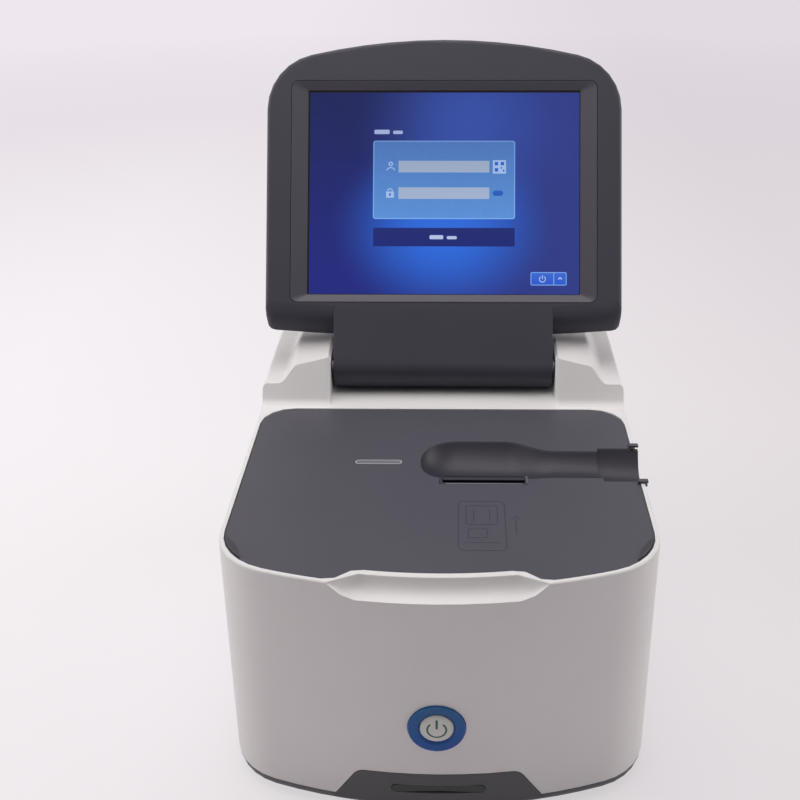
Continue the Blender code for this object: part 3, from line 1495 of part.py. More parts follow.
bm = bmesh.new()
contact_low_y = carriage_rear_y + GAP
contact_high_y = contact_low_y + CONTACT_DEPTH
block(
    bm,
    (guide_mid - PAD_HALF + GAP, contact_low_y, pad_low_z + GAP),
    (guide_mid + PAD_HALF - GAP, contact_high_y, pad_high_z - GAP),
)
contact_block = piece("contact_block", bm, BLACK_PART, clamp_axis)
bm = bmesh.new()
pin_tip = contact_high_y + PIN_LENGTH
pin_level = (pad_low_z + pad_high_z) / 2
for k in range(PIN_COUNT):
    x = guide_mid + (k - (PIN_COUNT - 1) / 2) * PIN_PITCH
    rod(bm, "Y", x, pin_level, PIN_RADIUS, contact_high_y - PIN_LENGTH / 2, pin_tip, 6)
fuse(contact_block, tool("pin_row", bm, clamp_axis))

rod_end = guide_front_y + END_PLATE
rod_start = end_plate_y - END_PLATE + GAP
for side, label in ((1, "right"), (-1, "left")):
    bm = bmesh.new()
    rod(bm, "Y", guide_mid + side * ROD_X, rod_z, ROD_RADIUS, rod_start, rod_end, 10)
    piece("clamp_rod_" + label, bm, STEEL)
carve(guide, guide_bores)

bm = bmesh.new()
block(
    bm,
    (guide_mid - GUIDE_HALF, end_plate_y - END_PLATE, lead_z - MOTOR_HALF),
    (guide_mid + GUIDE_HALF, end_plate_y, rod_z + MOTOR_HALF),
)
end_plate = piece("drive_end_plate", bm, ALUMINIUM)
bore_start = end_plate_y - END_PLATE - OVERRUN
bore_end = end_plate_y + OVERRUN
bm = bmesh.new()
for side in (1, -1):
    rod(bm, "Y", guide_mid + side * ROD_X, rod_z, ROD_RADIUS + GAP, bore_start, bore_end, 10)
rod(bm, "Y", guide_mid, lead_z, LEAD_RADIUS + GAP, bore_start, bore_end, 10)
carve(end_plate, tool("end_plate_bores", bm))

lead_axis = pivot("lead_screw_axis", guide_mid, end_plate_y, lead_z)
motor_back = end_plate_y - END_PLATE - GAP
motor_front = motor_back - MOTOR_LENGTH
bm = bmesh.new()
shaft_start = motor_back - MOTOR_LENGTH / 2
turned(
    bm,
    "Y",
    guide_mid,
    lead_z,
    [
        (shaft_start, MOTOR_SHAFT),
        (motor_back + GAP, MOTOR_SHAFT),
        (motor_back + GAP, LEAD_RADIUS),
        (guide_front_y + END_PLATE - GAP, LEAD_RADIUS),
    ],
    10,
)
piece("lead_screw", bm, STEEL, lead_axis)
bm = bmesh.new()
corner_cut = MOTOR_HALF / 5
motor_low = (guide_mid - MOTOR_HALF, lead_z - MOTOR_HALF)
motor_high = (guide_mid + MOTOR_HALF, lead_z + MOTOR_HALF)
prism(bm, rounded(*motor_low, *motor_high, corner_cut, 1), "Y", motor_front, motor_back)
motor = piece("clamp_motor", bm, BLACK_PART)
bm = bmesh.new()
rod(bm, "Y", guide_mid, lead_z, MOTOR_SHAFT + GAP, shaft_start - GAP, motor_back + OVERRUN, 10)
carve(motor, tool("motor_bore", bm))


# Slot shutter: sprung dust flap across the cartridge opening, on two pintles
FLAP_REAR_GAP = 0.0008
FLAP_WIDTH = 0.0040
FLAP_THICKNESS = 0.0010
FLAP_DROP = 0.0034
PINTLE_RADIUS = 0.00045
PINTLE_REACH = 0.0009

flap_rear = HINGE_Y - SLOT_REAR - FLAP_REAR_GAP
flap_top = DECK_TOP - FLAP_DROP
pintle_z = flap_top - FLAP_THICKNESS / 2
pintle_y = flap_rear - FLAP_THICKNESS / 2
shutter_axis = pivot("shutter_axis", guide_mid, pintle_y, pintle_z)
bm = bmesh.new()
block(
    bm,
    (slot_low_x + RUNNING_GAP, flap_rear - FLAP_WIDTH, flap_top - FLAP_THICKNESS),
    (slot_high_x - RUNNING_GAP, flap_rear, flap_top),
)
shutter = piece("slot_shutter", bm, SLATE_ABS, shutter_axis)
bm = bmesh.new()
pintle_half = SLOT_WIDTH / 2 + PINTLE_REACH
rod(bm, "X", pintle_y, pintle_z, PINTLE_RADIUS, guide_mid - pintle_half, guide_mid + pintle_half, 8)
fuse(shutter, tool("shutter_pintles", bm))
bm = bmesh.new()
hole_half = pintle_half + GAP
rod(bm, "X", pintle_y, pintle_z, PINTLE_RADIUS + GAP, guide_mid - hole_half, guide_mid + hole_half, 8)
carve(guide, tool("pintle_holes", bm))


# Plunger drive: small linear motor that presses the cartridge's calibrant pack
PLUNGER_LEVEL = 0.058
PLUNGER_RADIUS = 0.0018
PLUNGER_BODY = 0.022
PLUNGER_HALF = 0.0085
plunger_z = DECK_Z - PLUNGER_LEVEL
plunger_tip = slot_high_x + GAP
plunger_seat = guide_mid + cheek_outer + GAP
plunger_axis = pivot("plunger_axis", plunger_tip, channel_mid, plunger_z)
bm = bmesh.new()
rod(bm, "X", channel_mid, plunger_z, PLUNGER_RADIUS, plunger_tip, plunger_seat + PLUNGER_BODY / 2, 12)
piece("plunger_rod", bm, STEEL, plunger_axis)
bm = bmesh.new()
block(
    bm,
    (plunger_seat, channel_mid - PLUNGER_HALF, plunger_z - PLUNGER_HALF),
    (plunger_seat + PLUNGER_BODY, channel_mid + PLUNGER_HALF, plunger_z + PLUNGER_HALF),
)
plunger_motor = piece("plunger_motor", bm, BLACK_PART)
bm = bmesh.new()
bore_end = plunger_seat + PLUNGER_BODY / 2 + GAP
rod(bm, "X", channel_mid, plunger_z, PLUNGER_RADIUS + GAP, slot_high_x - OVERRUN / 2, bore_end, 12)
plunger_bore = tool("plunger_bore", bm)
carve(plunger_motor, plunger_bore)
carve(guide, plunger_bore)
carve(chassis, plunger_bore)


# Printer bay at the rear: bucket, paper roll, platen, print head and the hinged door
BAY_OPENING_HALF = 0.0335
BAY_OPENING_FRONT = 0.026
BAY_TO_REAR = 0.010
BUCKET_WALL = 0.0022
EXIT_SLOT = 0.0030
LID_THICKNESS = 0.0020
LID_AXIS_BACK = 0.0030
LID_AXIS_DROP = 0.0019
LID_PIN = 0.0007
LID_PIN_REACH = 0.0016
ROLL_CLEARANCE = 0.0030
ROLL_AHEAD = 0.0040
ROLL_HALF = 0.0285
ROLL_CORE = 0.0062
ROLL_RECESS = 0.0030
ROLL_DROP = 0.022
PLATEN_RADIUS = 0.0040
PLATEN_BACK = 0.0314
PLATEN_RISE = 0.0010
PLATEN_SHAFT = 0.0014
HEAD_DEPTH = 0.0030
HEAD_LOW = 0.017
HEAD_HIGH = 0.0028
DRIVE_LENGTH = 0.012
DRIVE_HALF = 0.0068

opening_front = HINGE_Y + BAY_OPENING_FRONT
opening_rear = REAR_Y - BAY_TO_REAR
roll_radius = (opening_rear - opening_front - ROLL_CLEARANCE - ROLL_AHEAD) / 2
roll_y = opening_rear - ROLL_CLEARANCE - roll_radius
roll_z = DECK_Z - ROLL_DROP
bm = bmesh.new()
block(
    bm,
    (-BAY_OPENING_HALF, opening_front, HOOD_TOP - WALL - OVERRUN / 2),
    (BAY_OPENING_HALF, opening_rear, HOOD_TOP + OVERRUN),
)
carve(upper_housing, tool("printer_opening", bm))

lid_axis_y = opening_rear - LID_AXIS_BACK
lid_axis_z = HOOD_TOP - LID_AXIS_DROP
lid_axis = pivot("paper_door_axis", 0, lid_axis_y, lid_axis_z)
bm = bmesh.new()
lid_half = BAY_OPENING_HALF - GAP
prism(
    bm,
    [(opening_front + EXIT_SLOT, HOOD_TOP - LID_THICKNESS)]
    + arc(lid_axis_y, lid_axis_z, LID_AXIS_DROP, 190, 450, 10)
    + [
        (opening_front + EXIT_SLOT + LID_THICKNESS / 2, HOOD_TOP),
        (opening_front + EXIT_SLOT, HOOD_TOP - LID_THICKNESS / 2),
    ],
    "X",
    -lid_half,
    lid_half,
)
paper_door = piece("paper_door", bm, WHITE_ABS, lid_axis)
bm = bmesh.new()
lid_pin_half = lid_half + LID_PIN_REACH
rod(bm, "X", lid_axis_y, lid_axis_z, LID_PIN, -lid_pin_half, lid_pin_half, 10)
fuse(paper_door, tool("door_pins", bm))
bm = bmesh.new()
hole_half = lid_pin_half + GAP
rod(bm, "X", lid_axis_y, lid_axis_z, LID_PIN + GAP, -hole_half, hole_half, 10)
carve(upper_housing, tool("door_pin_holes", bm))

bucket_low_z = roll_z - roll_radius - ROLL_CLEARANCE
bucket_top_z = HOOD_TOP - WALL - GAP
bm = bmesh.new()
block(
    bm,
    (-BAY_OPENING_HALF - BUCKET_WALL, opening_front - BUCKET_WALL, bucket_low_z),
    (BAY_OPENING_HALF + BUCKET_WALL, opening_rear + BUCKET_WALL, bucket_top_z),
)
bucket = piece("printer_bucket", bm, DARK_ABS)
bm = bmesh.new()
pocket_low = (opening_front, bucket_low_z + BUCKET_WALL)
pocket_high = (opening_rear, bucket_top_z + 2 * roll_radius)
pocket = rounded(*pocket_low, *pocket_high, roll_radius / 2, 4)
prism(bm, pocket, "X", -BAY_OPENING_HALF, BAY_OPENING_HALF)
platen_y = HINGE_Y + PLATEN_BACK
platen_z = DECK_Z + PLATEN_RISE
bucket_pocket = tool("bucket_pocket", bm)
bm = bmesh.new()
bore_half = BAY_OPENING_HALF + BUCKET_WALL + OVERRUN
rod(bm, "X", platen_y, platen_z, PLATEN_SHAFT + GAP, -bore_half, bore_half, 12)
carve(bucket, bucket_pocket, tool("platen_bores", bm))

platen_axis = pivot("platen_axis", 0, platen_y, platen_z)
shaft_left = -BAY_OPENING_HALF - BUCKET_WALL
shaft_right = BAY_OPENING_HALF + BUCKET_WALL + DRIVE_LENGTH / 2
bm = bmesh.new()
turned(
    bm,
    "X",
    platen_y,
    platen_z,
    [
        (shaft_left, PLATEN_SHAFT),
        (-ROLL_HALF, PLATEN_SHAFT),
        (-ROLL_HALF, PLATEN_RADIUS),
        (ROLL_HALF, PLATEN_RADIUS),
        (ROLL_HALF, PLATEN_SHAFT),
        (shaft_right, PLATEN_SHAFT),
    ],
    16,
)
piece("platen_roller", bm, RUBBER, platen_axis)

bm = bmesh.new()
block(
    bm,
    (-ROLL_HALF, opening_front + GAP, DECK_Z - HEAD_LOW),
    (ROLL_HALF, opening_front + GAP + HEAD_DEPTH, DECK_Z - HEAD_HIGH),
)
piece("print_head", bm, ALUMINIUM)

bm = bmesh.new()
turned(
    bm,
    "X",
    roll_y,
    roll_z,
    [
        (-ROLL_HALF + ROLL_RECESS, ROLL_CORE),
        (-ROLL_HALF, ROLL_CORE),
        (-ROLL_HALF, roll_radius),
        (ROLL_HALF, roll_radius),
        (ROLL_HALF, ROLL_CORE),
        (ROLL_HALF - ROLL_RECESS, ROLL_CORE),
    ],
    24,
)
piece("paper_roll", bm, PAPER, pivot("paper_roll_axis", 0, roll_y, roll_z))

bm = bmesh.new()
drive_seat = BAY_OPENING_HALF + BUCKET_WALL + GAP
block(
    bm,
    (drive_seat, platen_y - DRIVE_HALF, platen_z - DRIVE_HALF),
    (drive_seat + DRIVE_LENGTH, platen_y + DRIVE_HALF, platen_z + DRIVE_HALF / 2),
)
printer_motor = piece("printer_motor", bm, BLACK_PART)
bm = bmesh.new()
rod(bm, "X", platen_y, platen_z, PLATEN_SHAFT + GAP, drive_seat - OVERRUN, shaft_right + GAP, 12)
carve(printer_motor, tool("drive_bore", bm))

carve(upper_housing, tool("rear_port_cutter", rear_ports))


# Display hinge: steel pins in the shoulders, brackets round them and leaves in the display
NECK_CLEARANCE = 0.0015
NECK_RADIUS = 0.0136
NECK_FACE = 0.0131
NECK_FADE = 0.0400
NECK_DIVE = 0.0022
NECK_LINE = 0.0330
NECK_BACK = 0.0112
NECK_SIDE_ROUND = 0.0012
PIN_SIZE = 0.0040
PIN_INWARD = 0.021
PIN_OUTWARD = 0.013
PIN_PASSAGE = 0.0050
BRACKET_PLATE = 0.0030
BRACKET_ROUND = 0.0080
BRACKET_DROP = 0.020
BRACKET_BACK = 0.020
LEAF_INWARD = 0.018
LEAF_WIDTH = 0.012
LEAF_KNUCKLE = 0.0065
LEAF_TOP = 0.060
LEAF_LOW = 0.0025
LEAF_THICKNESS = 0.0020

display_frame = pivot("display_axis", 0, HINGE_Y, HINGE_Z)
display_frame.rotation_euler.x = -DISPLAY_TILT

neck_half = shoulder_inner - NECK_CLEARANCE
leaf_inner = shoulder_inner - LEAF_INWARD
bracket_start = shoulder_inner + WALL + GAP
for side, label in ((1, "right"), (-1, "left")):
    bm = bmesh.new()
    low_x, high_x = sorted((side * (shoulder_inner - PIN_INWARD), side * (shoulder_inner + PIN_OUTWARD)))
    rod(bm, "X", HINGE_Y, HINGE_Z, PIN_SIZE, low_x, high_x, 16)
    piece("hinge_pin_" + label, bm, STEEL)
    bm = bmesh.new()
    low_x, high_x = sorted((side * (shoulder_inner - OVERRUN / 2), side * (bracket_start - GAP / 2)))
    rod(bm, "X", HINGE_Y, HINGE_Z, PIN_PASSAGE, low_x, high_x, 16)
    carve(upper_housing, tool("pin_passage_" + label, bm))
    bm = bmesh.new()
    low_x, high_x = sorted((side * bracket_start, side * (bracket_start + BRACKET_PLATE)))
    plate = arc(HINGE_Y, HINGE_Z, BRACKET_ROUND, 0, 180, 8)
    plate += [
        (HINGE_Y - BRACKET_ROUND, HINGE_Z - BRACKET_DROP),
        (HINGE_Y + BRACKET_BACK, HINGE_Z - BRACKET_DROP),
        (HINGE_Y + BRACKET_BACK, HINGE_Z - BRACKET_ROUND),
        (HINGE_Y + BRACKET_ROUND, HINGE_Z - BRACKET_ROUND / 2),
    ]
    prism(bm, plate, "X", low_x, high_x)
    bracket = piece("hinge_bracket_" + label, bm, STEEL)
    bm = bmesh.new()
    rod(bm, "X", HINGE_Y, HINGE_Z, PIN_SIZE + GAP, low_x - OVERRUN, high_x + OVERRUN, 16)
    carve(bracket, tool("bracket_bore_" + label, bm))
    bm = bmesh.new()
    low_x, high_x = sorted((side * leaf_inner, side * (leaf_inner + LEAF_WIDTH)))
    rod(bm, "X", 0.0, 0.0, LEAF_KNUCKLE, low_x, high_x, 16)
    leaf = piece("hinge_leaf_" + label, bm, STEEL, display_frame)
    bm = bmesh.new()
    block(bm, (low_x, LEAF_LOW, 0.0), (high_x, LEAF_LOW + LEAF_THICKNESS, LEAF_TOP))
    fuse(leaf, tool("leaf_plate_" + label, bm, display_frame))
    bm = bmesh.new()
    rod(bm, "X", 0.0, 0.0, PIN_SIZE + GAP, low_x - OVERRUN, high_x + OVERRUN, 16)
    carve(leaf, tool("leaf_bore_" + label, bm, display_frame))


# Display casing: face and back shells that part along the middle and share the hinge barrel
DISPLAY_ARC = 0.380
DISPLAY_CORNER = 0.036
CHIN_CORNER = 0.005
CHIN_LOW = 0.0187
CHIN_RISE = 0.0122
CHIN_CROWN = 0.0045
DISPLAY_TOP_STEPS = 10
DISPLAY_CORNER_STEPS = 6
CHIN_CORNER_STEPS = 3
CHIN_STEPS = 8
HOLLOW_SECTION_START = 3
PARTING = 0.0010
SURROUND_TO_SIDE = 0.0160
SURROUND_LOW = 0.0390
SURROUND_TO_TOP = 0.0272
SURROUND_ROUND = 0.0044
SCREEN_SIDE_STRIP = 0.0103
SCREEN_LOW_STRIP = 0.0051
SCREEN_TOP_STRIP = 0.0054
SCREEN_ROUND = 0.0008
SURROUND_SLOPE = 0.0026
SURROUND_EDGE = 0.0005
SURROUND_RIM = 0.0006
SURROUND_SINK = 0.0002
GLASS_MARGIN = 0.0040
GLASS_THICKNESS = 0.0018
LCD_THICKNESS = 0.0048
DISPLAY_BOARD_HALF = 0.045
DISPLAY_BOARD_LOW = 0.070
DISPLAY_BOARD_TO_TOP = 0.0679
POST_TO_SIDE = 0.0102
POST_LOW = 0.062
POST_TO_TOP = 0.0479
HEAD_SINK = 0.0030

surround_half = DISPLAY_WIDTH / 2 - SURROUND_TO_SIDE
surround_high = DISPLAY_LENGTH - SURROUND_TO_TOP
screen_half = surround_half - SCREEN_SIDE_STRIP
screen_low = SURROUND_LOW + SCREEN_LOW_STRIP
screen_high = surround_high - SCREEN_TOP_STRIP


def display_outline(inset, chin):
    """Plan of the display seen square on: bowed top, round corners and a bowed chin."""
    half = DISPLAY_WIDTH / 2
    across = half - DISPLAY_CORNER
    centre = DISPLAY_LENGTH - DISPLAY_ARC
    corner_s = centre + math.sqrt((DISPLAY_ARC - DISPLAY_CORNER) ** 2 - across**2)
    turn = math.degrees(math.atan2(across, corner_s - centre))
    top = arc(0, centre, DISPLAY_ARC - inset, 90 + turn, 90 - turn, DISPLAY_TOP_STEPS)
    corner = arc(across, corner_s, DISPLAY_CORNER - inset, 90 - turn, 0, DISPLAY_CORNER_STEPS)[1:]
    bottom = CHIN_LOW + CHIN_RISE * chin
    radius = max(CHIN_CORNER - inset, RIM_ROUND)
    foot_x = half - inset - radius
    foot_s = bottom + radius + CHIN_CROWN * (foot_x / half) ** 2
    foot = arc(foot_x, foot_s, radius, 0, -90, CHIN_CORNER_STEPS)
    right = corner + foot
    chin_line = []
    for k in range(1, CHIN_STEPS):
        x = foot_x * (1 - 2 * k / CHIN_STEPS)
        chin_line.append((x, bottom + CHIN_CROWN * (x / half) ** 2))
    left = [(-x, z) for x, z in reversed(right)]
    return top + right + chin_line + left


def display_form(bm, skin):
    """Whole casing of the display, or with a skin the hollow inside it."""
    rings = []
    shares = DISPLAY_SECTION_SHARES[HOLLOW_SECTION_START::2] if skin else DISPLAY_SECTION_SHARES
    for deep, front, back, chin in shares:
        y = deep * DISPLAY_THICKNESS - FACE_OFFSET
        y = min(max(y, skin - FACE_OFFSET), BACK_OFFSET - skin)
        if rings and y <= rings[-1][0][1]:
            rings.pop()
        inset = front * EDGE_ROUND + back * BACK_ROUND + skin
        rings.append(ring_at(display_outline(inset, chin + skin / CHIN_RISE), "Y", y))
        if y >= BACK_OFFSET - skin:
            break
    loft(bm, rings)


def neck_profile(skin):
    """Section of the neck: hinge barrel with a straight front and a tapering back."""
    radius = NECK_RADIUS - skin
    face = NECK_FACE - skin
    start = math.degrees(math.asin(min(face / radius, 1.0)))
    barrel = arc(0, 0, radius, 90 + start, 360, 13)
    back = NECK_BACK - skin
    crown = [(back, NECK_LINE), (back - NECK_DIVE, NECK_FADE), (GAP - FACE_OFFSET + skin, NECK_FADE)]
    return barrel + crown + [(-face, NECK_LINE)]


def neck(bm, skin):
    half = neck_half - skin
    if skin:
        prism(bm, neck_profile(skin), "X", -half, half)
        return
    small = NECK_SIDE_ROUND * QUARTER_MIDDLE_SHARE
    loft(
        bm,
        [
            ring_at(neck_profile(NECK_SIDE_ROUND), "X", -half),
            ring_at(neck_profile(small), "X", -half + small),
            ring_at(neck_profile(0.0), "X", -half + NECK_SIDE_ROUND),
            ring_at(neck_profile(0.0), "X", half - NECK_SIDE_ROUND),
            ring_at(neck_profile(small), "X", half - small),
            ring_at(neck_profile(NECK_SIDE_ROUND), "X", half),
        ],
    )


bm = bmesh.new()
display_form(bm, 0.0)
bezel = piece("display_bezel", bm, DARK_ABS, display_frame)
bm = bmesh.new()
display_form(bm, 0.0)
back_cover = piece("display_back_cover", bm, DARK_ABS, display_frame)

bm = bmesh.new()
neck(bm, 0.0)
neck_lump = tool("neck_lump", bm, display_frame)
bm = bmesh.new()
display_form(bm, WALL)
display_hollow = tool("display_hollow", bm, display_frame)
bm = bmesh.new()
neck(bm, WALL)
neck_hollow = tool("neck_hollow", bm, display_frame)
bm = bmesh.new()
rod(bm, "X", 0.0, 0.0, PIN_SIZE + GAP, -neck_half - OVERRUN, neck_half + OVERRUN, 16)
barrel_bore = tool("barrel_bore", bm, display_frame)

reach = DISPLAY_WIDTH
bm = bmesh.new()
block(bm, (-reach, -PARTING, -reach), (reach, reach, reach + DISPLAY_LENGTH))
behind = tool("behind_parting", bm, display_frame)
bm = bmesh.new()
block(bm, (-reach, -reach, -reach), (reach, GAP - PARTING, reach + DISPLAY_LENGTH))
ahead = tool("ahead_of_parting", bm, display_frame)

bm = bmesh.new()
opening_low = (-surround_half - GAP, SURROUND_LOW - GAP)
opening_high = (surround_half + GAP, surround_high + GAP)
opening = rounded(*opening_low, *opening_high, SURROUND_ROUND + GAP)
prism(bm, opening, "Y", -FACE_OFFSET - OVERRUN, -PARTING - GAP)
face_opening = tool("face_opening", bm, display_frame)

bezel_posts = bmesh.new()
cover_posts = bmesh.new()
bezel_bores = bmesh.new()
cover_bores = bmesh.new()
head_bores = bmesh.new()
post_x = DISPLAY_WIDTH / 2 - POST_TO_SIDE
screw_sites = [(side * post_x, z) for side in (1, -1) for z in (POST_LOW, DISPLAY_LENGTH - POST_TO_TOP)]
head_seat = BACK_OFFSET - HEAD_SINK
for x, z in screw_sites:
    rod(bezel_posts, "Y", x, z, POST_RADIUS, WALL / 2 - FACE_OFFSET, GAP, 10)
    rod(cover_posts, "Y", x, z, POST_RADIUS, -PARTING - GAP, BACK_OFFSET - WALL / 2, 10)
    rod(bezel_bores, "Y", x, z, SCREW_RADIUS + GAP, WALL - FACE_OFFSET, OVERRUN, 10)
    rod(cover_bores, "Y", x, z, SCREW_RADIUS + GAP, -OVERRUN, BACK_OFFSET + OVERRUN, 10)
    rod(head_bores, "Y", x, z, SCREW_HEAD + GAP, head_seat - SCREW_HEAD_HEIGHT, BACK_OFFSET + OVERRUN, 12)

fuse(bezel, neck_lump)
carve(bezel, display_hollow, neck_hollow)
fuse(bezel, tool("bezel_posts", bezel_posts, display_frame))
carve(bezel, face_opening, behind, barrel_bore, tool("bezel_bores", bezel_bores, display_frame))
fuse(back_cover, neck_lump)
carve(back_cover, display_hollow, neck_hollow)
fuse(back_cover, tool("cover_posts", cover_posts, display_frame))
carve(back_cover, ahead, barrel_bore, tool("cover_bores", cover_bores, display_frame))
carve(back_cover, tool("head_bores", head_bores, display_frame))


# Screen: sloping surround, touch glass, liquid crystal module and its board
bm = bmesh.new()
surround_face = SURROUND_SINK - FACE_OFFSET
surround_inner = surround_face + SURROUND_SLOPE
surround_back = surround_inner + SURROUND_EDGE
prism(
    bm,
    rounded(-surround_half, SURROUND_LOW, surround_half, surround_high, SURROUND_ROUND),
    "Y",
    surround_face,
    surround_back,
)
surround = piece("screen_surround", bm, SURROUND_ABS, display_frame)
bm = bmesh.new()


def between(share, radius):
    """Outline between the surround's rim and the screen opening."""
    half = surround_half - SURROUND_RIM
    low = SURROUND_LOW + SURROUND_RIM
    high = surround_high - SURROUND_RIM
    return rounded(
        -half - (screen_half - half) * share,
        low + (screen_low - low) * share,
        half + (screen_half - half) * share,
        high + (screen_high - high) * share,
        radius,
    )


step_out = -GAP / SURROUND_SLOPE
loft(
    bm,
    [
        ring_at(between(step_out, SURROUND_ROUND), "Y", surround_face - GAP),
        ring_at(between(1.0, SCREEN_ROUND), "Y", surround_inner),
        ring_at(between(1.0, SCREEN_ROUND), "Y", surround_back + OVERRUN),
    ],
)
carve(surround, tool("screen_opening", bm, display_frame))

glass_face = surround_back + GAP
glass_back = glass_face + GLASS_THICKNESS
bm = bmesh.new()
block(
    bm,
    (-screen_half - GLASS_MARGIN, glass_face, screen_low - GLASS_MARGIN),
    (screen_half + GLASS_MARGIN, glass_back, screen_high + GLASS_MARGIN),
)
piece("touch_glass", bm, SCREEN, display_frame)
bm = bmesh.new()
lcd_margin = GLASS_MARGIN / 2
lcd_face = glass_back + GAP
lcd_back = lcd_face + LCD_THICKNESS
block(
    bm,
    (-screen_half - lcd_margin, lcd_face, screen_low - lcd_margin),
    (screen_half + lcd_margin, lcd_back, screen_high + lcd_margin),
)
piece("lcd_module", bm, ALUMINIUM, display_frame)
bm = bmesh.new()
board_face = lcd_back + GAP
board_back = board_face + BOARD_THICKNESS
board_high = DISPLAY_LENGTH - DISPLAY_BOARD_TO_TOP
block(
    bm,
    (-DISPLAY_BOARD_HALF, board_face, DISPLAY_BOARD_LOW),
    (DISPLAY_BOARD_HALF, board_back, board_high),
)
display_board = piece("display_board", bm, GREEN_BOARD, display_frame)
bm = bmesh.new()
chip_s = (DISPLAY_BOARD_LOW + board_high) / 2
for x in (-DISPLAY_BOARD_HALF / 2, DISPLAY_BOARD_HALF / 2):
    block(
        bm,
        (x - CHIP_HALF, board_back - BOARD_THICKNESS / 2, chip_s - CHIP_HALF),
        (x + CHIP_HALF, board_back + CHIP_HEIGHT, chip_s + CHIP_HALF),
    )
fuse(display_board, tool("display_chips", bm, display_frame))


# Case screws: pan heads sunk in the tray, driven up into the housing's columns
head_top = base_floor_top - GAP
shank_top = COLUMN_FOOT + OVERRUN - RUNNING_GAP
labels = ("front_right", "rear_right", "front_left", "rear_left")
for (x, y), label in zip(column_sites, labels):
    bm = bmesh.new()
    turned(
        bm,
        "Z",
        x,
        y,
        [
            (head_top - SCREW_HEAD_HEIGHT, SCREW_HEAD),
            (head_top, SCREW_HEAD),
            (head_top, SCREW_RADIUS),
            (shank_top, SCREW_RADIUS),
        ],
        8,
    )
    piece("case_screw_" + label, bm, STEEL)
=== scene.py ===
# Blood gas analyzer on a pale studio floor, seen from above its front edge.

# The imported model: every casing, pivot and inner piece, in metres, in the frame of the CAD.
# Nothing else is read.
import json
import math

import bmesh
import bpy
from mathutils import Matrix, Vector
from mathutils.bvhtree import BVHTree


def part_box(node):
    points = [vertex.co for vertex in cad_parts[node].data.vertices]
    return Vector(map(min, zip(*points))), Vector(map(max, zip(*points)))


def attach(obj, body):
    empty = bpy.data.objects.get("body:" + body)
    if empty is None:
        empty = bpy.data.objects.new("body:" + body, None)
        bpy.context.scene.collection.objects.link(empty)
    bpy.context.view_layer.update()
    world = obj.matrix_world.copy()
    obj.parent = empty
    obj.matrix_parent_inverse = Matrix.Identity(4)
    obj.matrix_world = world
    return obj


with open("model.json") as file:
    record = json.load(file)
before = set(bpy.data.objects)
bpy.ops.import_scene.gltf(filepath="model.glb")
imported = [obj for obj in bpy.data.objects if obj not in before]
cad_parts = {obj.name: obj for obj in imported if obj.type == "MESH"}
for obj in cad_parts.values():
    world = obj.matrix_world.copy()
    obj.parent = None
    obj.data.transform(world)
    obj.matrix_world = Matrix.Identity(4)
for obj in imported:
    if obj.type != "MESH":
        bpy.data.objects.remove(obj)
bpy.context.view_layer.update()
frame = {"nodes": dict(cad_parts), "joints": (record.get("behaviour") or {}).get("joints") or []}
nodes = frame["nodes"]


# Camera: a short telephoto held above the front edge and aimed down at the deck. Its place,
# tilt and small shift come from the straight edges and corners of the photographed case.
CAMERA_PLACE = Vector((0.008596, -0.605737, 0.468958))
CAMERA_PITCH = math.radians(28.959)
CAMERA_YAW = math.radians(-0.971)
CAMERA_ROLL = math.radians(-0.207)

forward = Vector((
    math.sin(CAMERA_YAW) * math.cos(CAMERA_PITCH),
    math.cos(CAMERA_YAW) * math.cos(CAMERA_PITCH),
    -math.sin(CAMERA_PITCH),
))
level_right = Vector((math.cos(CAMERA_YAW), -math.sin(CAMERA_YAW), 0.0))
level_up = level_right.cross(forward)
right = math.cos(CAMERA_ROLL) * level_right + math.sin(CAMERA_ROLL) * level_up
up = math.cos(CAMERA_ROLL) * level_up - math.sin(CAMERA_ROLL) * level_right
camera_data = bpy.data.cameras.new("studio_camera")
camera_data.lens = 50.82
camera_data.sensor_width = 36.0
camera_data.shift_x = -0.0492
camera_data.shift_y = 0.0623
camera_data.clip_start = 0.01
camera = bpy.data.objects.new("studio_camera", camera_data)
turn = Matrix((right, up, -forward)).transposed().to_4x4()
camera.matrix_world = Matrix.Translation(CAMERA_PLACE) @ turn
bpy.context.scene.collection.objects.link(camera)
bpy.context.scene.camera = camera
bpy.context.scene.view_settings.view_transform = "Standard"


# Studio: matt white paper floor, a pale room and three soft boxes. The big box hangs over the
# deck, one stands at each side, and the front of the case is left in their soft shade.
def linear(colour):
    """Linear colour for an sRGB hex value such as #E4E0DF."""
    parts = [int(colour[i : i + 2], 16) / 255 for i in (1, 3, 5)]
    return (*[p / 12.92 if p <= 0.04045 else ((p + 0.055) / 1.055) ** 2.4 for p in parts], 1.0)


def add_node(tree, kind, links=None, **settings):
    """Add a node, set its own settings, and fill its inputs with values or with other outputs."""
    made = tree.nodes.new(kind)
    for key, value in settings.items():
        setattr(made, key, value)
    for key, value in (links or {}).items():
        if isinstance(value, bpy.types.NodeSocket):
            tree.links.new(value, made.inputs[key])
        else:
            made.inputs[key].default_value = value
    return made


def blend(tree, share, first, second, kind="MIX"):
    """Colour between two colours, by a share from 0 to 1."""
    links = {0: share, 6: first, 7: second}
    return add_node(tree, "ShaderNodeMix", links, data_type="RGBA", blend_type=kind).outputs[2]


def ramp(tree, value, low, high, start=0.0, stop=1.0, kind="LINEAR"):
    """Value that goes from start to stop while another goes from low to high."""
    links = {0: value, 1: low, 2: high, 3: start, 4: stop}
    return add_node(tree, "ShaderNodeMapRange", links, interpolation_type=kind).outputs[0]


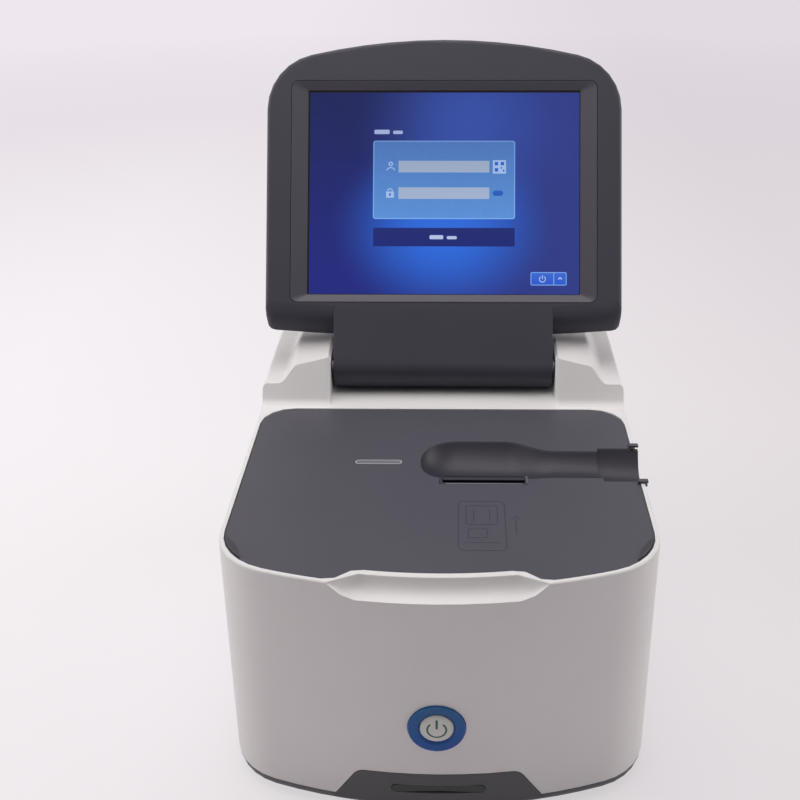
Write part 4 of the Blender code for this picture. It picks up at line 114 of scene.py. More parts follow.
def seen_by_eye(tree):
    """1 for what is looked at, straight, mirrored or through glass, and 0 for stray light."""
    path = add_node(tree, "ShaderNodeLightPath").outputs
    either = {0: path["Is Camera Ray"], 1: path["Is Glossy Ray"]}
    either = add_node(tree, "ShaderNodeMath", either, operation="MAXIMUM").outputs[0]
    either = {0: either, 1: path["Is Transmission Ray"]}
    return add_node(tree, "ShaderNodeMath", either, operation="MAXIMUM").outputs[0]


ROOM_LIGHT = 0.10
ROOM_TONE = "#F4F0F3"
BACK_TONE = "#E9E2E9"
LAMP_TONE = "#FFFBFA"

world = bpy.data.worlds.new("pale_room")
world.use_nodes = True
room = world.node_tree
room.nodes.clear()
dim = add_node(room, "ShaderNodeBackground", {"Color": linear(ROOM_TONE), "Strength": ROOM_LIGHT})
pale = add_node(room, "ShaderNodeBackground", {"Color": linear(BACK_TONE), "Strength": 1.0})
either = {0: seen_by_eye(room), 1: dim.outputs[0], 2: pale.outputs[0]}
mixed = add_node(room, "ShaderNodeMixShader", either)
add_node(room, "ShaderNodeOutputWorld", {"Surface": mixed.outputs[0]})
bpy.context.scene.world = world

# Name, place, aim, side in metres and power in watts of each lamp.
for name, place, aim, size, power in (
    ("overhead_box", (-0.15, 0.12, 1.55), (0.0, 0.0, 0.15), 1.4, 16.5),
    ("left_box", (-1.35, 0.12, 0.75), (0.0, 0.0, 0.12), 1.0, 8.0),
    ("right_box", (1.45, 0.18, 0.75), (0.0, 0.0, 0.12), 1.0, 9.0),
):
    lamp = bpy.data.lights.new(name, "AREA")
    lamp.shape = "SQUARE"
    lamp.size = size
    lamp.energy = power
    lamp.color = linear(LAMP_TONE)[:3]
    box = bpy.data.objects.new(name, lamp)
    box.location = place
    box.rotation_euler = (Vector(aim) - Vector(place)).to_track_quat("-Z", "Y").to_euler()
    bpy.context.scene.collection.objects.link(box)

# The paper is a little brighter at the left, which is painted light. What the camera sees of it is
# mostly a painted glow with that brighter side, with a share of the real light for the shadow. That
# share is given.
FLOOR_REACH = 9.0
FLOOR_SIDES = 64
PAPER_EVEN = 0.70
PAPER_FADE = 0.42
TOOTH_SCALE = 6.0
PAPER_ROUGHNESS = 0.6
NEAR_REACH, FAR_REACH = 0.3, 1.6
FLAT_START, FLAT_END = 0.5, 2.5

mesh = bpy.data.meshes.new("paper_floor")
form = bmesh.new()
bmesh.ops.create_circle(form, cap_ends=True, segments=FLOOR_SIDES, radius=FLOOR_REACH)
form.to_mesh(mesh)
form.free()
floor = bpy.data.objects.new("paper_floor", mesh)
bpy.context.scene.collection.objects.link(floor)
paper = bpy.data.materials.new("matt_backdrop_paper")
paper.use_nodes = True
tree = paper.node_tree
tree.nodes.clear()
spot = add_node(tree, "ShaderNodeTexCoord").outputs["Object"]
tooth = {"Vector": spot, "Scale": TOOTH_SCALE, "Detail": 3.0}
tooth = add_node(tree, "ShaderNodeTexNoise", tooth).outputs["Fac"]
tint = blend(tree, tooth, linear("#F3EDF2"), linear("#F6F1F4"))
diffuse = add_node(tree, "ShaderNodeBsdfDiffuse", {"Color": tint, "Roughness": PAPER_ROUGHNESS})
along = add_node(tree, "ShaderNodeSeparateXYZ", {0: spot}).outputs["X"]
across = ramp(tree, along, -PAPER_FADE, PAPER_FADE)
# Painted light on the paper: brighter at the left, most of all near the case.
near = blend(tree, across, linear("#FFFDFF"), linear("#DED9DC"))
far = blend(tree, across, linear("#EEE7EE"), linear("#E2DBE2"))
reach = add_node(tree, "ShaderNodeVectorMath", {0: spot}, operation="LENGTH").outputs["Value"]
even = blend(tree, ramp(tree, reach, NEAR_REACH, FAR_REACH), near, far)
paper_painted_glow = add_node(tree, "ShaderNodeEmission", {"Color": even, "Strength": 1.0})
flat = ramp(tree, reach, FLAT_START, FLAT_END, PAPER_EVEN, 1.0)
share = add_node(tree, "ShaderNodeMath", {0: seen_by_eye(tree), 1: flat}, operation="MULTIPLY")
both = {0: share.outputs[0], 1: diffuse.outputs[0], 2: paper_painted_glow.outputs[0]}
both = add_node(tree, "ShaderNodeMixShader", both)
add_node(tree, "ShaderNodeOutputMaterial", {"Surface": both.outputs[0]})
mesh.materials.append(paper)


# Upper housing and printer door: white ABS, injection moulded with a fine spark-eroded grain.
# The housing drops over the dark tray and four screws from below hold it.
SMOOTH_BELOW = math.radians(35)
WELD_WITHIN = 0.00002


def dress(material, *names):
    """Give CAD nodes a finish, and let their facets shade as the curves that they stand for."""
    for name in names:
        node = nodes[name]
        for slot in node.material_slots:
            slot.material = material
        custom = node.data.attributes.get("custom_normal")
        if custom:
            node.data.attributes.remove(custom)
        node.data.polygons.foreach_set("use_smooth", [True] * len(node.data.polygons))
        weld = node.modifiers.new("close facets", "WELD")
        weld.merge_threshold = WELD_WITHIN
        split = node.modifiers.new("keep edges", "EDGE_SPLIT")
        split.split_angle = SMOOTH_BELOW
        even = node.modifiers.new("even light", "WEIGHTED_NORMAL")
        even.mode = "FACE_AREA"
        even.weight = 100


def start_finish(name, roughness, ior=1.5, metallic=0.0, shine=0.5):
    """New material, with its shader's constants set, and its tree and shader."""
    made = bpy.data.materials.new(name)
    made.use_nodes = True
    shader = made.node_tree.nodes["Principled BSDF"]
    shader.inputs["Roughness"].default_value = roughness
    shader.inputs["IOR"].default_value = ior
    shader.inputs["Metallic"].default_value = metallic
    shader.inputs["Specular IOR Level"].default_value = shine
    return made, made.node_tree, shader


CLOUD_SCALE = 22.0
CLOUD_ROUGHNESS = 0.55
GRAIN_LOW, GRAIN_HIGH = 0.3, 0.7
GRAIN_STRENGTH = 0.6


def grained(name, pale, deep, grain_mm, relief_mm, low, high, ior=1.53, metallic=0.0, shine=0.5):
    """Finish with two near tones in soft clouds, and a grain of a real size in gloss and relief."""
    made, tree, shader = start_finish(name, low, ior, metallic, shine)
    spot = add_node(tree, "ShaderNodeTexCoord").outputs["Object"]
    clouds = {"Vector": spot, "Scale": CLOUD_SCALE, "Detail": 3.0, "Roughness": CLOUD_ROUGHNESS}
    clouds = add_node(tree, "ShaderNodeTexNoise", clouds).outputs["Fac"]
    tone = blend(tree, clouds, linear(pale), linear(deep))
    grain = {"Vector": spot, "Scale": 1000 / grain_mm, "Detail": 2.0}
    grain = add_node(tree, "ShaderNodeTexNoise", grain).outputs["Fac"]
    gloss = ramp(tree, grain, GRAIN_LOW, GRAIN_HIGH, low, high)
    relief = {"Height": grain, "Distance": relief_mm / 1000, "Strength": GRAIN_STRENGTH}
    relief = add_node(tree, "ShaderNodeBump", relief).outputs[0]
    tree.links.new(tone, shader.inputs["Base Color"])
    tree.links.new(gloss, shader.inputs["Roughness"])
    tree.links.new(relief, shader.inputs["Normal"])
    return made


# A real spark grain is near 0.1 mm. It is drawn at 0.7 mm, so that it softens the sheen and
# shows as a faint tooth in the render.
white_abs = grained("white_abs_spark_grain", "#E9E8E7", "#E3E2E1", 0.7, 0.03, 0.40, 0.50)
dress(white_abs, "upper_housing", "paper_door")


# Deck panel and slot shutter: slate ABS with a slightly coarser grain, moulded with the sample
# well and the syringe channel in it. The panel drops into the rim and rests on its shelf.
# Below the deck's face the colour is darkened as painted shade, a fitted look that lets the well
# and the channel read as darker hollows, and the gloss there is even. The face itself reads soft
# and matt.
slate_abs = grained(
    "slate_abs_spark_grain", "#4B4B52", "#45454C", 0.8, 0.035, 0.44, 0.54, shine=0.3
)
WELL_PAINTED_SHADE = "#A9A8B2"
WELL_ROUGHNESS = 0.44
DECK_TOP = 0.1496
WELL_SHADE_START, WELL_SHADE_FULL = 0.0002, 0.0016
tree = slate_abs.node_tree
shader = tree.nodes["Principled BSDF"]
spot = add_node(tree, "ShaderNodeTexCoord").outputs["Object"]
height = add_node(tree, "ShaderNodeSeparateXYZ", {0: spot}).outputs["Z"]
# Painted shade: 1 below the deck's face, fading to 0 just under it, darkens the well and the
# channel.
painted_shade_below = ramp(tree, height, DECK_TOP - WELL_SHADE_FULL, DECK_TOP - WELL_SHADE_START, 1.0, 0.0)
face_tone = shader.inputs["Base Color"].links[0].from_socket
well_painted_shade_tone = blend(tree, 1.0, face_tone, linear(WELL_PAINTED_SHADE), "MULTIPLY")
tree.links.new(blend(tree, painted_shade_below, face_tone, well_painted_shade_tone), shader.inputs["Base Color"])
face_gloss = shader.inputs["Roughness"].links[0].from_socket
gloss = add_node(tree, "ShaderNodeMix", {0: painted_shade_below, 2: face_gloss, 3: WELL_ROUGHNESS})
tree.links.new(gloss.outputs[0], shader.inputs["Roughness"])
dress(slate_abs, "deck_panel", "slot_shutter")


# Cartridge guide and printer bucket: black-grey ABS. The guide's collar comes up through the deck,
# and the bucket lines the printer's bay. The dark satin lets both read as openings.
guide_abs = grained("charcoal_abs", "#37363B", "#313035", 0.8, 0.03, 0.34, 0.44, shine=0.4)
dress(guide_abs, "cartridge_guide", "printer_bucket")


# Display casing: charcoal ABS in two shells that part along the middle of the edge. The neck
# and its barrel belong to both, and four screws at the back draw them together. The fine grain
# breaks the lamps up into a soft, slightly blue sheen.
charcoal_abs = grained(
    "charcoal_abs_fine_grain", "#3D3D47", "#363640", 0.7, 0.025, 0.42, 0.52, shine=0.3
)
dress(charcoal_abs, "display_bezel", "display_back_cover")


# Screen surround: the same ABS, a tone lighter, as a frame that slopes in to the glass and holds
# it. The lighter tone draws a thin step between the casing and the glass.
surround_abs = grained("surround_abs", "#4A4953", "#45444D", 0.7, 0.02, 0.38, 0.48, shine=0.35)
dress(surround_abs, "screen_surround")


# Base tray and battery door: near-black ABS, moulded with a coarse grain that hides scuffs. The
# case screws hold the tray, and the door is a plate in its floor. Both read as a matt dark line.
base_abs = grained("base_abs_coarse_grain", "#56575A", "#4E4F52", 1.1, 0.05, 0.50, 0.62, shine=0.35)
dress(base_abs, "base_tray", "battery_door")


# Rubber: the platen, and feet whose spigots press into the tray's floor, moulded matt and dusty
# black. The two corner rests lie on the deck's face, and their tone, darker than the deck's, is
# partly painted shade for the shadowed edge round them.
rubber = grained("moulded_rubber", "#38383C", "#303034", 0.9, 0.03, 0.62, 0.78)
dress(rubber, "foot_front_left", "foot_front_right", "foot_rear_left", "foot_rear_right")
dress(rubber, "platen_roller")
# Partly painted shade: the rests are darker than the deck, standing in for the shade round their
# edge.
rest_rubber_with_shade = grained("rest_rubber_painted_shade", "#2F2F34", "#2A2A2F", 0.9, 0.03, 0.46, 0.60, shine=0.35)
dress(rest_rubber_with_shade, "corner_rest_left", "corner_rest_right")


# Metal inside the case and the hinge: zinc-plated pressings and turned pins, and machined
# aluminium. A clouded, half-bright gloss tells them from the moulded parts.
zinc_steel = grained("zinc_plated_steel", "#B4B4B8", "#A4A4A9", 1.5, 0.01, 0.28, 0.42, 1.5, 1.0)
dress(zinc_steel, "analysis_chassis", "clamp_rod_left", "clamp_rod_right", "lead_screw")
dress(zinc_steel, "plunger_rod")
dress(zinc_steel, "hinge_pin_left", "hinge_pin_right", "hinge_bracket_left", "hinge_bracket_right")
dress(zinc_steel, "hinge_leaf_left", "hinge_leaf_right", "usb_socket", "network_socket")
dress(zinc_steel, "case_screw_front_left", "case_screw_front_right")
dress(zinc_steel, "case_screw_rear_left", "case_screw_rear_right")
aluminium = grained("machined_aluminium", "#C6C6CA", "#B8B8BD", 0.6, 0.008, 0.30, 0.45, 1.5, 1.0)
dress(aluminium, "heater_block", "drive_end_plate", "print_head", "lcd_module")


# Electronics: green solder resist over fibreglass, black moulded motors, fan and housings, a
# pale acetal slide, paper and shrink film. They show only through open doors and mouths.
solder_resist = grained("green_solder_resist", "#1E5A38", "#1A5032", 2.0, 0.01, 0.25, 0.40)
dress(solder_resist, "main_board", "power_board", "power_switch_board", "display_board")
black_nylon = grained("black_nylon", "#26262A", "#202024", 0.8, 0.02, 0.42, 0.55)
dress(black_nylon, "reader_module", "speaker", "dc_inlet", "fan_frame", "fan_rotor")
dress(black_nylon, "contact_block", "clamp_motor", "plunger_motor", "printer_motor")
acetal = grained("natural_acetal", "#DAD8D2", "#D2D0CA", 0.9, 0.01, 0.35, 0.5)
dress(acetal, "clamp_carriage")
thermal_paper = grained("coated_paper", "#EFEEEC", "#E8E7E5", 0.4, 0.01, 0.7, 0.85)
dress(thermal_paper, "paper_roll")
battery_film = grained("shrink_film", "#2A3550", "#252F48", 5.0, 0.02, 0.25, 0.35)
dress(battery_film, "battery_pack")


# Moulded sign on the deck: a cartridge and an arrow, as fine lines that stand just proud of the
# panel in its own slate ABS. It shows which way the cartridge goes in.
def corners(left, right, low, high, radius, steps=4):
    """Outline of a rectangle with round corners, anticlockwise."""
    turns = (
        (right, low, -1, 1, -90),
        (right, high, -1, -1, 0),
        (left, high, 1, -1, 90),
        (left, low, 1, 1, 180),
    )
    points = []
    for x, z, toward_x, toward_z, start in turns:
        for step in range(steps + 1):
            angle = math.radians(start + 90 * step / steps)
            points.append((
                x + toward_x * radius + radius * math.cos(angle),
                z + toward_z * radius + radius * math.sin(angle),
            ))
    return points


def bow(x, z, radius, start, stop, steps=20):
    """Points on an arc, between two angles in degrees."""
    angles = [math.radians(start + (stop - start) * step / steps) for step in range(steps + 1)]
    return [(x + radius * math.cos(angle), z + radius * math.sin(angle)) for angle in angles]


def slab(form, outline, front, back):
    """Flat plate of an outline, between two depths. Its face looks along -Y."""
    ends = [[form.verts.new((x, depth, z)) for x, z in outline] for depth in (front, back)]
    form.faces.new(ends[0])
    form.faces.new(ends[1][::-1])
    for a, b, c, d in zip(ends[0], ends[0][1:] + ends[0][:1], ends[1][1:] + ends[1][:1], ends[1]):
        form.faces.new((a, d, c, b))


def line(form, points, width, front, back, closed=False):
    """Flat line of a width along a path, between two depths."""
    count = len(points)
    rows = []
    for i, (x, z) in enumerate(points):
        before = points[(i - 1) % count] if closed or i else points[0]
        after = points[(i + 1) % count] if closed or i < count - 1 else points[-1]
        run = Vector((after[0] - before[0], after[1] - before[1])).normalized() * width / 2
        sides = ((x - run.y, z + run.x), (x + run.y, z - run.x))
        places = [(across, depth, rise) for depth in (front, back) for across, rise in sides]
        rows.append([form.verts.new(place) for place in places])
    for i in range(count if closed else count - 1):
        here, there = rows[i], rows[(i + 1) % count]
        for a, b in ((0, 1), (1, 3), (3, 2), (2, 0)):
            form.faces.new((here[a], here[b], there[b], there[a]))
    if not closed:
        form.faces.new([rows[0][k] for k in (0, 2, 3, 1)])
        form.faces.new([rows[-1][k] for k in (0, 1, 3, 2)])


def fit(name, form, finish, body, place=Matrix()):
    """Make a piece of a finished form, in its place, on the body that carries it."""
    bmesh.ops.recalc_face_normals(form, faces=form.faces)
    mesh = bpy.data.meshes.new(name)
    form.to_mesh(mesh)
    form.free()
    mesh.materials.append(finish)
    made = bpy.data.objects.new(name, mesh)
    made.matrix_world = place
    bpy.context.scene.collection.objects.link(made)
    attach(made, body)
    return made


SIGN_WIDTH = 0.00040
SIGN_PROUD = 0.00003
deck_place = Matrix.Translation((0.0, 0.0, DECK_TOP)) @ Matrix.Rotation(-math.pi / 2, 4, "X")

form = bmesh.new()
for outline in (
    corners(0.0100, 0.0345, -0.1330, -0.0860, 0.0030),
    corners(0.0140, 0.0305, -0.1090, -0.0905, 0.0012),
    corners(0.0150, 0.0250, -0.1215, -0.1130, 0.0010),
):
    line(form, outline, SIGN_WIDTH, -SIGN_PROUD, SIGN_PROUD, closed=True)
for path in (
    ((0.0180, -0.1060), (0.0180, -0.0940)),
    ((0.0265, -0.1060), (0.0265, -0.0940)),
    ((0.0130, -0.1260), (0.0315, -0.1260)),
    ((0.0400, -0.1180), (0.0400, -0.1010)),
    ((0.0375, -0.1040), (0.0400, -0.1005), (0.0425, -0.1040)),
):
    line(form, path, SIGN_WIDTH, -SIGN_PROUD, SIGN_PROUD)
fit("cartridge_sign", form, slate_abs, "case", deck_place)


# Slot trims: a soft dust lip over the rear half of the slot, a near-black strip of painted shadow
# behind the lip, a bright strip of painted highlight along the front edge, and a small end stop.
# All are set on the deck.
def lay(form, node, ray, lift):
    """Lay a flat form on a node's surface along a ray, each point at its own height."""
    places = [vert.co for vert in node.data.vertices]
    skin = BVHTree.FromPolygons(places, [face.vertices for face in node.data.polygons])
    ray = Vector(ray)
    for vert in form.verts:
        off = vert.co.dot(ray)
        level = vert.co - ray * off
        found = skin.ray_cast(level - ray, ray)[0]
        vert.co = found + ray * (off - lift)


soft_lip = grained("soft_slate_lip", "#2E2D33", "#29282D", 0.5, 0.02, 0.50, 0.62, shine=0.3)
shadow_paint = grained("painted_slot_shadow", "#161619", "#111113", 0.5, 0.02, 0.70, 0.85, shine=0.1)
highlight_paint = grained("painted_edge_highlight", "#98979C", "#8C8B91", 0.6, 0.002, 0.18, 0.26, shine=0.6)
stop_abs = grained("grey_abs_stop", "#57565B", "#4D4C51", 0.6, 0.01, 0.35, 0.45)

form = bmesh.new()
slab(form, corners(0.0014, 0.0466, -0.0626, -0.0592, 0.0003), 0.0003, 0.0007)
fit("slot_dust_lip", form, soft_lip, "case", deck_place)
# Painted shadow: a near-black strip standing in for the dark gap behind the lip.
form = bmesh.new()
slab(form, corners(0.0014, 0.0466, -0.0595, -0.0587, 0.0003), 0.00025, 0.0030)
fit("slot_shadow_strip_painted", form, shadow_paint, "case", deck_place)

# Painted highlight: a pale strip standing in for the bright line along the slot's front edge.
form = bmesh.new()
line(form, ((0.0030, -0.06755), (0.0452, -0.06755)), 0.00045, -0.00022, 0.0001)
fit("slot_front_highlight_painted", form, highlight_paint, "case", deck_place)
form = bmesh.new()
slab(form, corners(0.0474, 0.0488, -0.0672, -0.0588, 0.0004), -0.0002, 0.0001)
fit("slot_end_stop", form, stop_abs, "case", deck_place)


# Status lens: frosted polycarbonate light pipe, pressed up through the deck from below. Its
# polished rim stands proud of the frosted face, and its near-white colour is a painted highlight,
# drawn as a thin bright line round the lens.
frosted = grained("frosted_polycarbonate", "#706F75", "#68676D", 0.5, 0.01, 0.40, 0.55, 1.58)
dress(frosted, "status_lens")

# Painted highlight: a near-white rim standing in for the light caught along the lens's edge.
lens_rim_highlight_paint = grained("lens_rim_painted_highlight", "#D2D1D6", "#C4C3C8", 0.8, 0.001, 0.10, 0.16, 1.58)
LENS_RIM = 0.00042
lens_line = corners(-0.0489, -0.0226, -0.04550, -0.04130, 0.00205, 6)
form = bmesh.new()
line(form, lens_line, LENS_RIM, -0.00012, 0.0003, closed=True)
fit("status_lens_rim", form, lens_rim_highlight_paint, "case", deck_place)


# Power switch: blue polycarbonate ring round a grey-white satin cap, both set from behind into
# the front wall. The ring gives the front its one saturated accent, and the cap a soft sheen.
# The ring is greyer at its head and a deeper blue at its foot, a fitted gradient by height that is
# painted light: painted sheen at the head and painted shade at the foot.
RING_FOOT_PAINTED_SHADE = "#86CEF4"
RING_HEAD_PAINTED_SHEEN = "#FFF4DC"
blue_lens = grained(
    "blue_polycarbonate", "#2370BC", "#1A5CA2", 0.6, 0.004, 0.16, 0.24, 1.58, shine=0.22
)
tree = blue_lens.node_tree
shader = tree.nodes["Principled BSDF"]
spot = add_node(tree, "ShaderNodeTexCoord").outputs["Object"]
height = add_node(tree, "ShaderNodeSeparateXYZ", {0: spot}).outputs["Z"]
ring_low, ring_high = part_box("power_light_ring")
# Painted sheen and shade by height: greyer towards the head of the ring, a deeper blue towards its
# foot.
rise = ramp(tree, height, ring_low[2], ring_high[2])
depth = blend(tree, rise, linear(RING_FOOT_PAINTED_SHADE), linear(RING_HEAD_PAINTED_SHEEN))
resin = shader.inputs["Base Color"].links[0].from_socket
tree.links.new(blend(tree, 1.0, resin, depth, "MULTIPLY"), shader.inputs["Base Color"])
dress(blue_lens, "power_light_ring")
cap_satin = grained("satin_cap", "#DFE1DC", "#D4D6D1", 0.6, 0.006, 0.28, 0.36)
dress(cap_satin, "power_button_cap")


# Power sign: the standard broken circle and bar, pad-printed in dark green on the domed cap.
# Each point of the print is laid on the dome, so that it bends with it.
SIGN_INK_LIFT = 0.00004
cap_low, cap_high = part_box("power_button_cap")
cap_x = (cap_low[0] + cap_high[0]) / 2
cap_z = (cap_low[2] + cap_high[2]) / 2
print_ink = grained("dark_green_print", "#1C4A36", "#2E6E52", 0.5, 0.001, 0.35, 0.45)

form = bmesh.new()
line(form, bow(cap_x, cap_z - 0.0002, 0.0049, 132, 408, 40), 0.0010, -SIGN_INK_LIFT, 0.0)
bar = [(cap_x, cap_z + height / 1000) for height in (6.2, 5.2, 4.2, 3.2, 2.2, 1.2, 0.4)]
line(form, bar, 0.0012, -SIGN_INK_LIFT, 0.0)
lay(form, nodes["power_button_cap"], (0.0, 1.0, 0.0), 0.0)
fit("power_sign", form, print_ink, "power_button")


# Reader window: polished smoked acrylic, flush in the tab of the tray. Its close gloss sets a
# thin black strip off from the coarse grain round it.
smoked = grained("smoked_acrylic", "#17171A", "#131316", 3.0, 0.001, 0.06, 0.10, 1.49)
dress(smoked, "reader_window")


# Touch glass: dark bonded glass with an antiglare coat, held in by the surround. It shows as a
# black line round the lit picture, which lies just on it.
dark_glass = grained(
    "bonded_touch_glass", "#0C0D14", "#0A0B11", 5.0, 0.0005, 0.08, 0.12, 1.52, shine=0.25
)
dress(dark_glass, "touch_glass")


# Lit picture: the start page of the display, in layers as thin as film. It has a deep blue ground
# with a brighter middle, a pale panel with two entry fields, and a button with a short bar below.
hinge = next(Vector(joint["pos_m"]) for joint in frame["joints"] if joint["name"] == "display_tilt")
DISPLAY_LEAN = math.radians(30.6)
display_place = Matrix.Translation(hinge) @ Matrix.Rotation(-DISPLAY_LEAN, 4, "X")
glass = nodes["touch_glass"].data
glass_face = min((display_place.inverted() @ vert.co).y for vert in glass.vertices)
FILM = 0.00002
FILM_ROUGHNESS = 0.14
FILM_IOR = 1.4
FILM_SHINE = 0.12
FILM_BASE = "#07080C"
HAZE = 0.05


def lit(name, low_tone, high_tone, low_mm, high_mm, noise_mm=2.0):
    """Backlit tone that changes up the screen, in a thin film with a soft sheen."""
    made, tree, shader = start_finish(name, FILM_ROUGHNESS, FILM_IOR, shine=FILM_SHINE)
    spot = add_node(tree, "ShaderNodeTexCoord").outputs["Object"]
    height = add_node(tree, "ShaderNodeSeparateXYZ", {0: spot}).outputs["Z"]
    climb = ramp(tree, height, low_mm / 1000, high_mm / 1000)
    haze = {"Vector": spot, "Scale": 1000 / noise_mm, "Detail": 1.0}
    haze = add_node(tree, "ShaderNodeTexNoise", haze).outputs["Fac"]
    stir = {0: climb, 1: ramp(tree, haze, GRAIN_LOW, GRAIN_HIGH, -HAZE, HAZE)}
    stir = add_node(tree, "ShaderNodeMath", stir, operation="ADD", use_clamp=True).outputs[0]
    tone = blend(tree, stir, linear(low_tone), linear(high_tone))
    shader.inputs["Base Color"].default_value = linear(FILM_BASE)
    shader.inputs["Emission Strength"].default_value = 1.0
    tree.links.new(tone, shader.inputs["Emission Color"])
    return made, tree, shader, tone


def ball(tree, spot, location, scale, stop, strength):
    """Soft round patch: its middle and its reach come from a mapping of the screen's own axes."""
    links = {"Vector": spot, "Location": location, "Scale": scale}
    spread = add_node(tree, "ShaderNodeMapping", links).outputs[0]
    links = {"Vector": spread}
    round_patch = add_node(tree, "ShaderNodeTexGradient", links, gradient_type="SPHERICAL")
    return ramp(tree, round_patch.outputs["Fac"], 0.0, stop, 0.0, strength, "SMOOTHSTEP")


SIDE_START, SIDE_END = -0.03, 0.08
GLOW_PLACE, GLOW_SCALE = (0.0, 0.0, -1.36), (13.2, 1.0, 15.5)
VEIL_PLACE, VEIL_SCALE = (-0.20, 0.0, -1.92), (13.0, 1.0, 12.5)
GLOW_FULL = 0.9
VEIL_STRENGTH = 0.75

ground, tree, shader, tone = lit("screen_ground_blue", "#232A7C", "#20265C", 60, 165, 30.0)
spot = add_node(tree, "ShaderNodeTexCoord").outputs["Object"]
across = add_node(tree, "ShaderNodeSeparateXYZ", {0: spot}).outputs["X"]
tone = blend(tree, ramp(tree, across, SIDE_START, SIDE_END), tone, linear("#303C86"))
bright = ball(tree, spot, GLOW_PLACE, GLOW_SCALE, GLOW_FULL, 1.0)
tone = blend(tree, bright, tone, linear("#2E6ADA"))
veil = ball(tree, spot, VEIL_PLACE, VEIL_SCALE, 1.0, VEIL_STRENGTH)
tone = blend(tree, veil, tone, linear("#3A56B0"))
tree.links.new(tone, shader.inputs["Emission Color"])

panel = lit("screen_panel_blue", "#5A90D4", "#4D74B6", 93, 143)[0]
edge_blue = lit("screen_edge_blue", "#7DACEC", "#6F96D0", 93, 143)[0]
field_grey = lit("screen_field_grey", "#A2B2CE", "#98A8C2", 105, 130)[0]
button_navy = lit("screen_button_navy", "#1E2A74", "#232C70", 75, 87)[0]
key_blue = lit("screen_key_blue", "#2C56C8", "#3E6AD2", 50, 59)[0]
mark_pale = lit("screen_mark_pale", "#A9C2EE", "#9DB6E2", 50, 150)[0]
mark_deep = lit("screen_mark_deep", "#2458B4", "#2F64BE", 105, 115)[0]
bar_pale = lit("screen_bar_pale", "#B4C2E6", "#9FAED6", 78, 150)[0]


def film(name, finish, layer, plates=(), lines=()):
    """One layer of the picture: its plates and lines, in millimetres across and up the screen."""
    front = glass_face - layer * FILM
    form = bmesh.new()
    for left, right, low, high, radius in plates:
        outline = corners(left / 1000, right / 1000, low / 1000, high / 1000, radius / 1000)
        slab(form, outline, front, front + FILM / 2)
    for width, closed, path in lines:
        points = [(x / 1000, z / 1000) for x, z in path]
        line(form, points, width / 1000, front, front + FILM / 2, closed)
    fit(name, form, finish, "display", display_place)


film("screen_ground", ground, 1, [(-85.8, 86.4, 44.6, 174.2, 0.3)])
film("screen_panel", panel, 2, [(-45.2, 45.4, 92.8, 143.1, 1.4)])
film("screen_button", button_navy, 2, [(-45.0, 45.3, 75.2, 87.1, 0.6)])
film("screen_keys", key_blue, 2, [(55.5, 78.3, 50.4, 58.8, 0.8)])
film("screen_fields", field_grey, 3, [
    (-29.0, 29.0, 122.7, 130.2, 0.2),
    (-29.0, 29.0, 105.7, 113.1, 0.2),
])
film("screen_edges", edge_blue, 3, lines=[
    (0.7, True, corners(-44.9, 45.1, 93.1, 142.8, 1.2)),
    (0.5, True, corners(55.7, 78.1, 50.6, 58.6, 0.7)),
    (0.5, False, ((70.2, 50.8), (70.2, 58.4))),
])
film("screen_signs", mark_pale, 4, [
    (31.2, 39.6, 122.0, 130.6, 0.3),
    (-36.9, -31.9, 106.4, 110.4, 0.3),
], [
    (0.6, False, bow(-34.4, 110.6, 1.6, 0, 180, 10)),
    (0.6, False, bow(-34.0, 123.0, 2.8, 20, 160, 10)),
    (0.8, True, bow(-34.0, 128.2, 1.1, 0, 330, 11)),
    (0.55, False, bow(63.0, 54.4, 1.9, 125, 415, 18)),
    (0.55, False, ((63.0, 56.8), (63.0, 54.4))),
    (0.9, False, ((73.1, 54.3), (74.2, 55.4), (75.3, 54.3))),
])
film("screen_sign_details", mark_deep, 5, [
    (32.4, 34.6, 127.3, 129.5, 0.2),
    (36.2, 38.4, 127.3, 129.5, 0.2),
    (32.4, 34.6, 123.3, 125.5, 0.2),
    (36.2, 37.2, 125.2, 126.2, 0.1),
    (37.6, 38.6, 123.3, 124.6, 0.1),
    (31.2, 37.8, 107.7, 111.1, 1.69),
    (-34.9, -33.9, 107.6, 109.3, 0.3),
])
film("screen_bars", bar_pale, 5, [
    (-44.6, -34.8, 147.4, 150.2, 0.8),
    (-32.6, -26.4, 147.4, 149.6, 0.8),
    (-9.0, -0.2, 79.8, 82.4, 0.8),
    (2.0, 8.4, 79.8, 81.8, 0.8),
])


# Back screws of the display: zinc-plated pan heads with a cross recess, sunk in four bores. They
# hold the back shell to the bezel.
HEAD_RADIUS = 0.0026
HEAD_RISE = 0.0015
CROSS_REACH = 0.0013
CROSS_HALF = 0.0003
CROSS_DEPTH_SHARE = 0.35
CROSS_TAPER = 0.6
SCREW_SEAT = 0.0066
SCREW_ACROSS = 0.103
SCREW_HEIGHTS = (("low", 0.062), ("high", 0.160))
HEAD_SHARES = ((1.0, 0.0), (1.0, 0.35), (0.93, 0.70), (0.76, 0.93), (0.60, 1.0))

cross = []
for turn in range(4):
    c, s = round(math.cos(turn * math.pi / 2)), round(math.sin(turn * math.pi / 2))
    for x, z in ((CROSS_REACH, -CROSS_HALF), (CROSS_REACH, 0.0), (CROSS_REACH, CROSS_HALF)):
        cross.append((c * x - s * z, s * x + c * z))
    cross.append((c * CROSS_HALF - s * CROSS_HALF, s * CROSS_HALF + c * CROSS_HALF))
around = [math.atan2(z, x) for x, z in cross]
rings = []
for share, rise in HEAD_SHARES:
    radius = HEAD_RADIUS * share
    rings.append([(radius * math.cos(a), rise * HEAD_RISE, radius * math.sin(a)) for a in around])
rings.append([(x, HEAD_RISE, z) for x, z in cross])
foot = HEAD_RISE * CROSS_DEPTH_SHARE
rings.append([(x * CROSS_TAPER, foot, z * CROSS_TAPER) for x, z in cross])

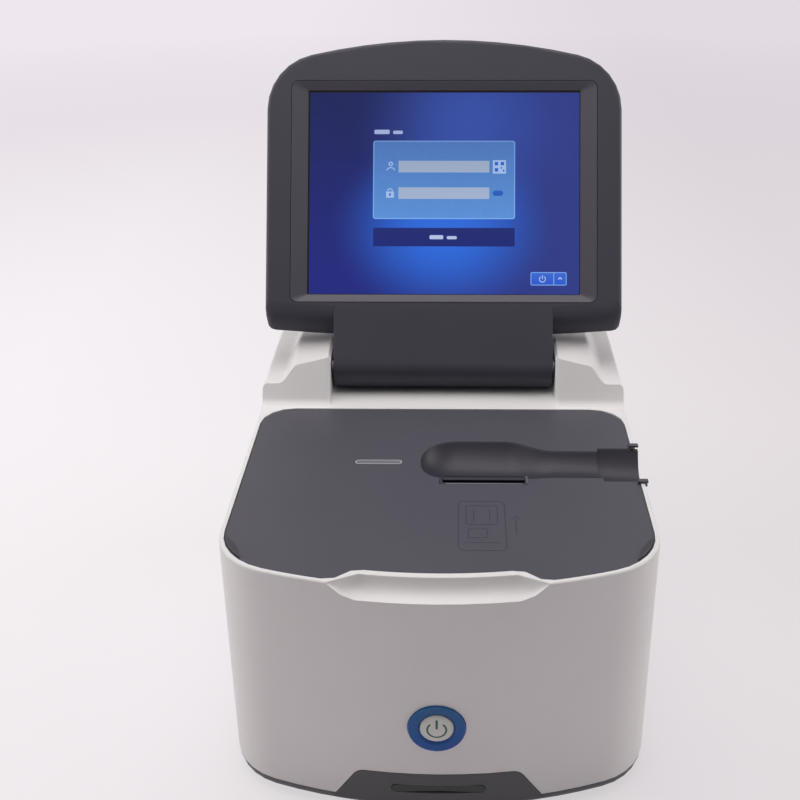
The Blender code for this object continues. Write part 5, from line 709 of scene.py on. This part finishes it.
for side, side_name in ((-1, "left"), (1, "right")):
    for height_name, height in SCREW_HEIGHTS:
        form = bmesh.new()
        loops = [[form.verts.new(point) for point in ring] for ring in rings]
        for low, high in zip(loops, loops[1:]):
            for a, b, c, d in zip(low, low[1:] + low[:1], high[1:] + high[:1], high):
                form.faces.new((a, b, c, d))
        form.faces.new(loops[0][::-1])
        form.faces.new(loops[-1])
        place = display_place @ Matrix.Translation((side * SCREW_ACROSS, SCREW_SEAT, height))
        name = f"display_screw_{height_name}_{side_name}"
        fit(name, form, zinc_steel, "display", place)


# Socket contacts: black tongues in the two USB mouths, and gold-flashed springs on them and in the
# network jack. They are moulded and pressed into the shielded blocks on the main board.
gold_flash = grained("gold_flash_contacts", "#D9B26A", "#C9A25C", 0.8, 0.002, 0.22, 0.32, 1.5, 1.0)


SOCKET_INNER_Y = 0.1236
TONGUE_END_Y = 0.1374


def bar_between(form, x, half, low, high, start=SOCKET_INNER_Y, end=TONGUE_END_Y):
    """Bar with a middle and a half width across, between two heights and two depths."""
    outline = ((x - half, low), (x + half, low), (x + half, high), (x - half, high))
    slab(form, outline, start, end)


TONGUE_HALF = 0.0056
SPRING_HALF = 0.0005
SPRING_SHORT = 0.001
USB_SPRINGS = (-0.0036, -0.0012, 0.0012, 0.0036)
usb_low, usb_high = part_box("usb_socket")
usb_x = (usb_low[0] + usb_high[0]) / 2
usb_rise = usb_high[2] - usb_low[2]
for row, share in (("lower", 0.25), ("upper", 0.75)):
    middle = usb_low[2] + usb_rise * share
    form = bmesh.new()
    bar_between(form, usb_x, TONGUE_HALF, middle + 0.0003, middle + 0.0019)
    fit("usb_tongue_" + row, form, black_nylon, "case")
    form = bmesh.new()
    tip = TONGUE_END_Y - SPRING_SHORT
    for offset in USB_SPRINGS:
        bar_between(form, usb_x + offset, SPRING_HALF, middle + 0.0001, middle + 0.0004, end=tip)
    fit("usb_contacts_" + row, form, gold_flash, "case")

PIN_PITCH = 0.00102
PIN_HALF = 0.0002
PIN_HOOK = 0.0004
jack_low, jack_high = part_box("network_socket")
jack_x = (jack_low[0] + jack_high[0]) / 2
jack_z = (jack_low[2] + jack_high[2]) / 2
form = bmesh.new()
for pin in range(8):
    x = jack_x + (pin - 3.5) * PIN_PITCH
    bar_between(form, x, PIN_HALF, jack_z + 0.0018, jack_z + 0.0022)
    bar_between(form, x, PIN_HALF, jack_z + 0.0020, jack_z + 0.0040, TONGUE_END_Y - PIN_HOOK)
fit("network_contacts", form, gold_flash, "case")
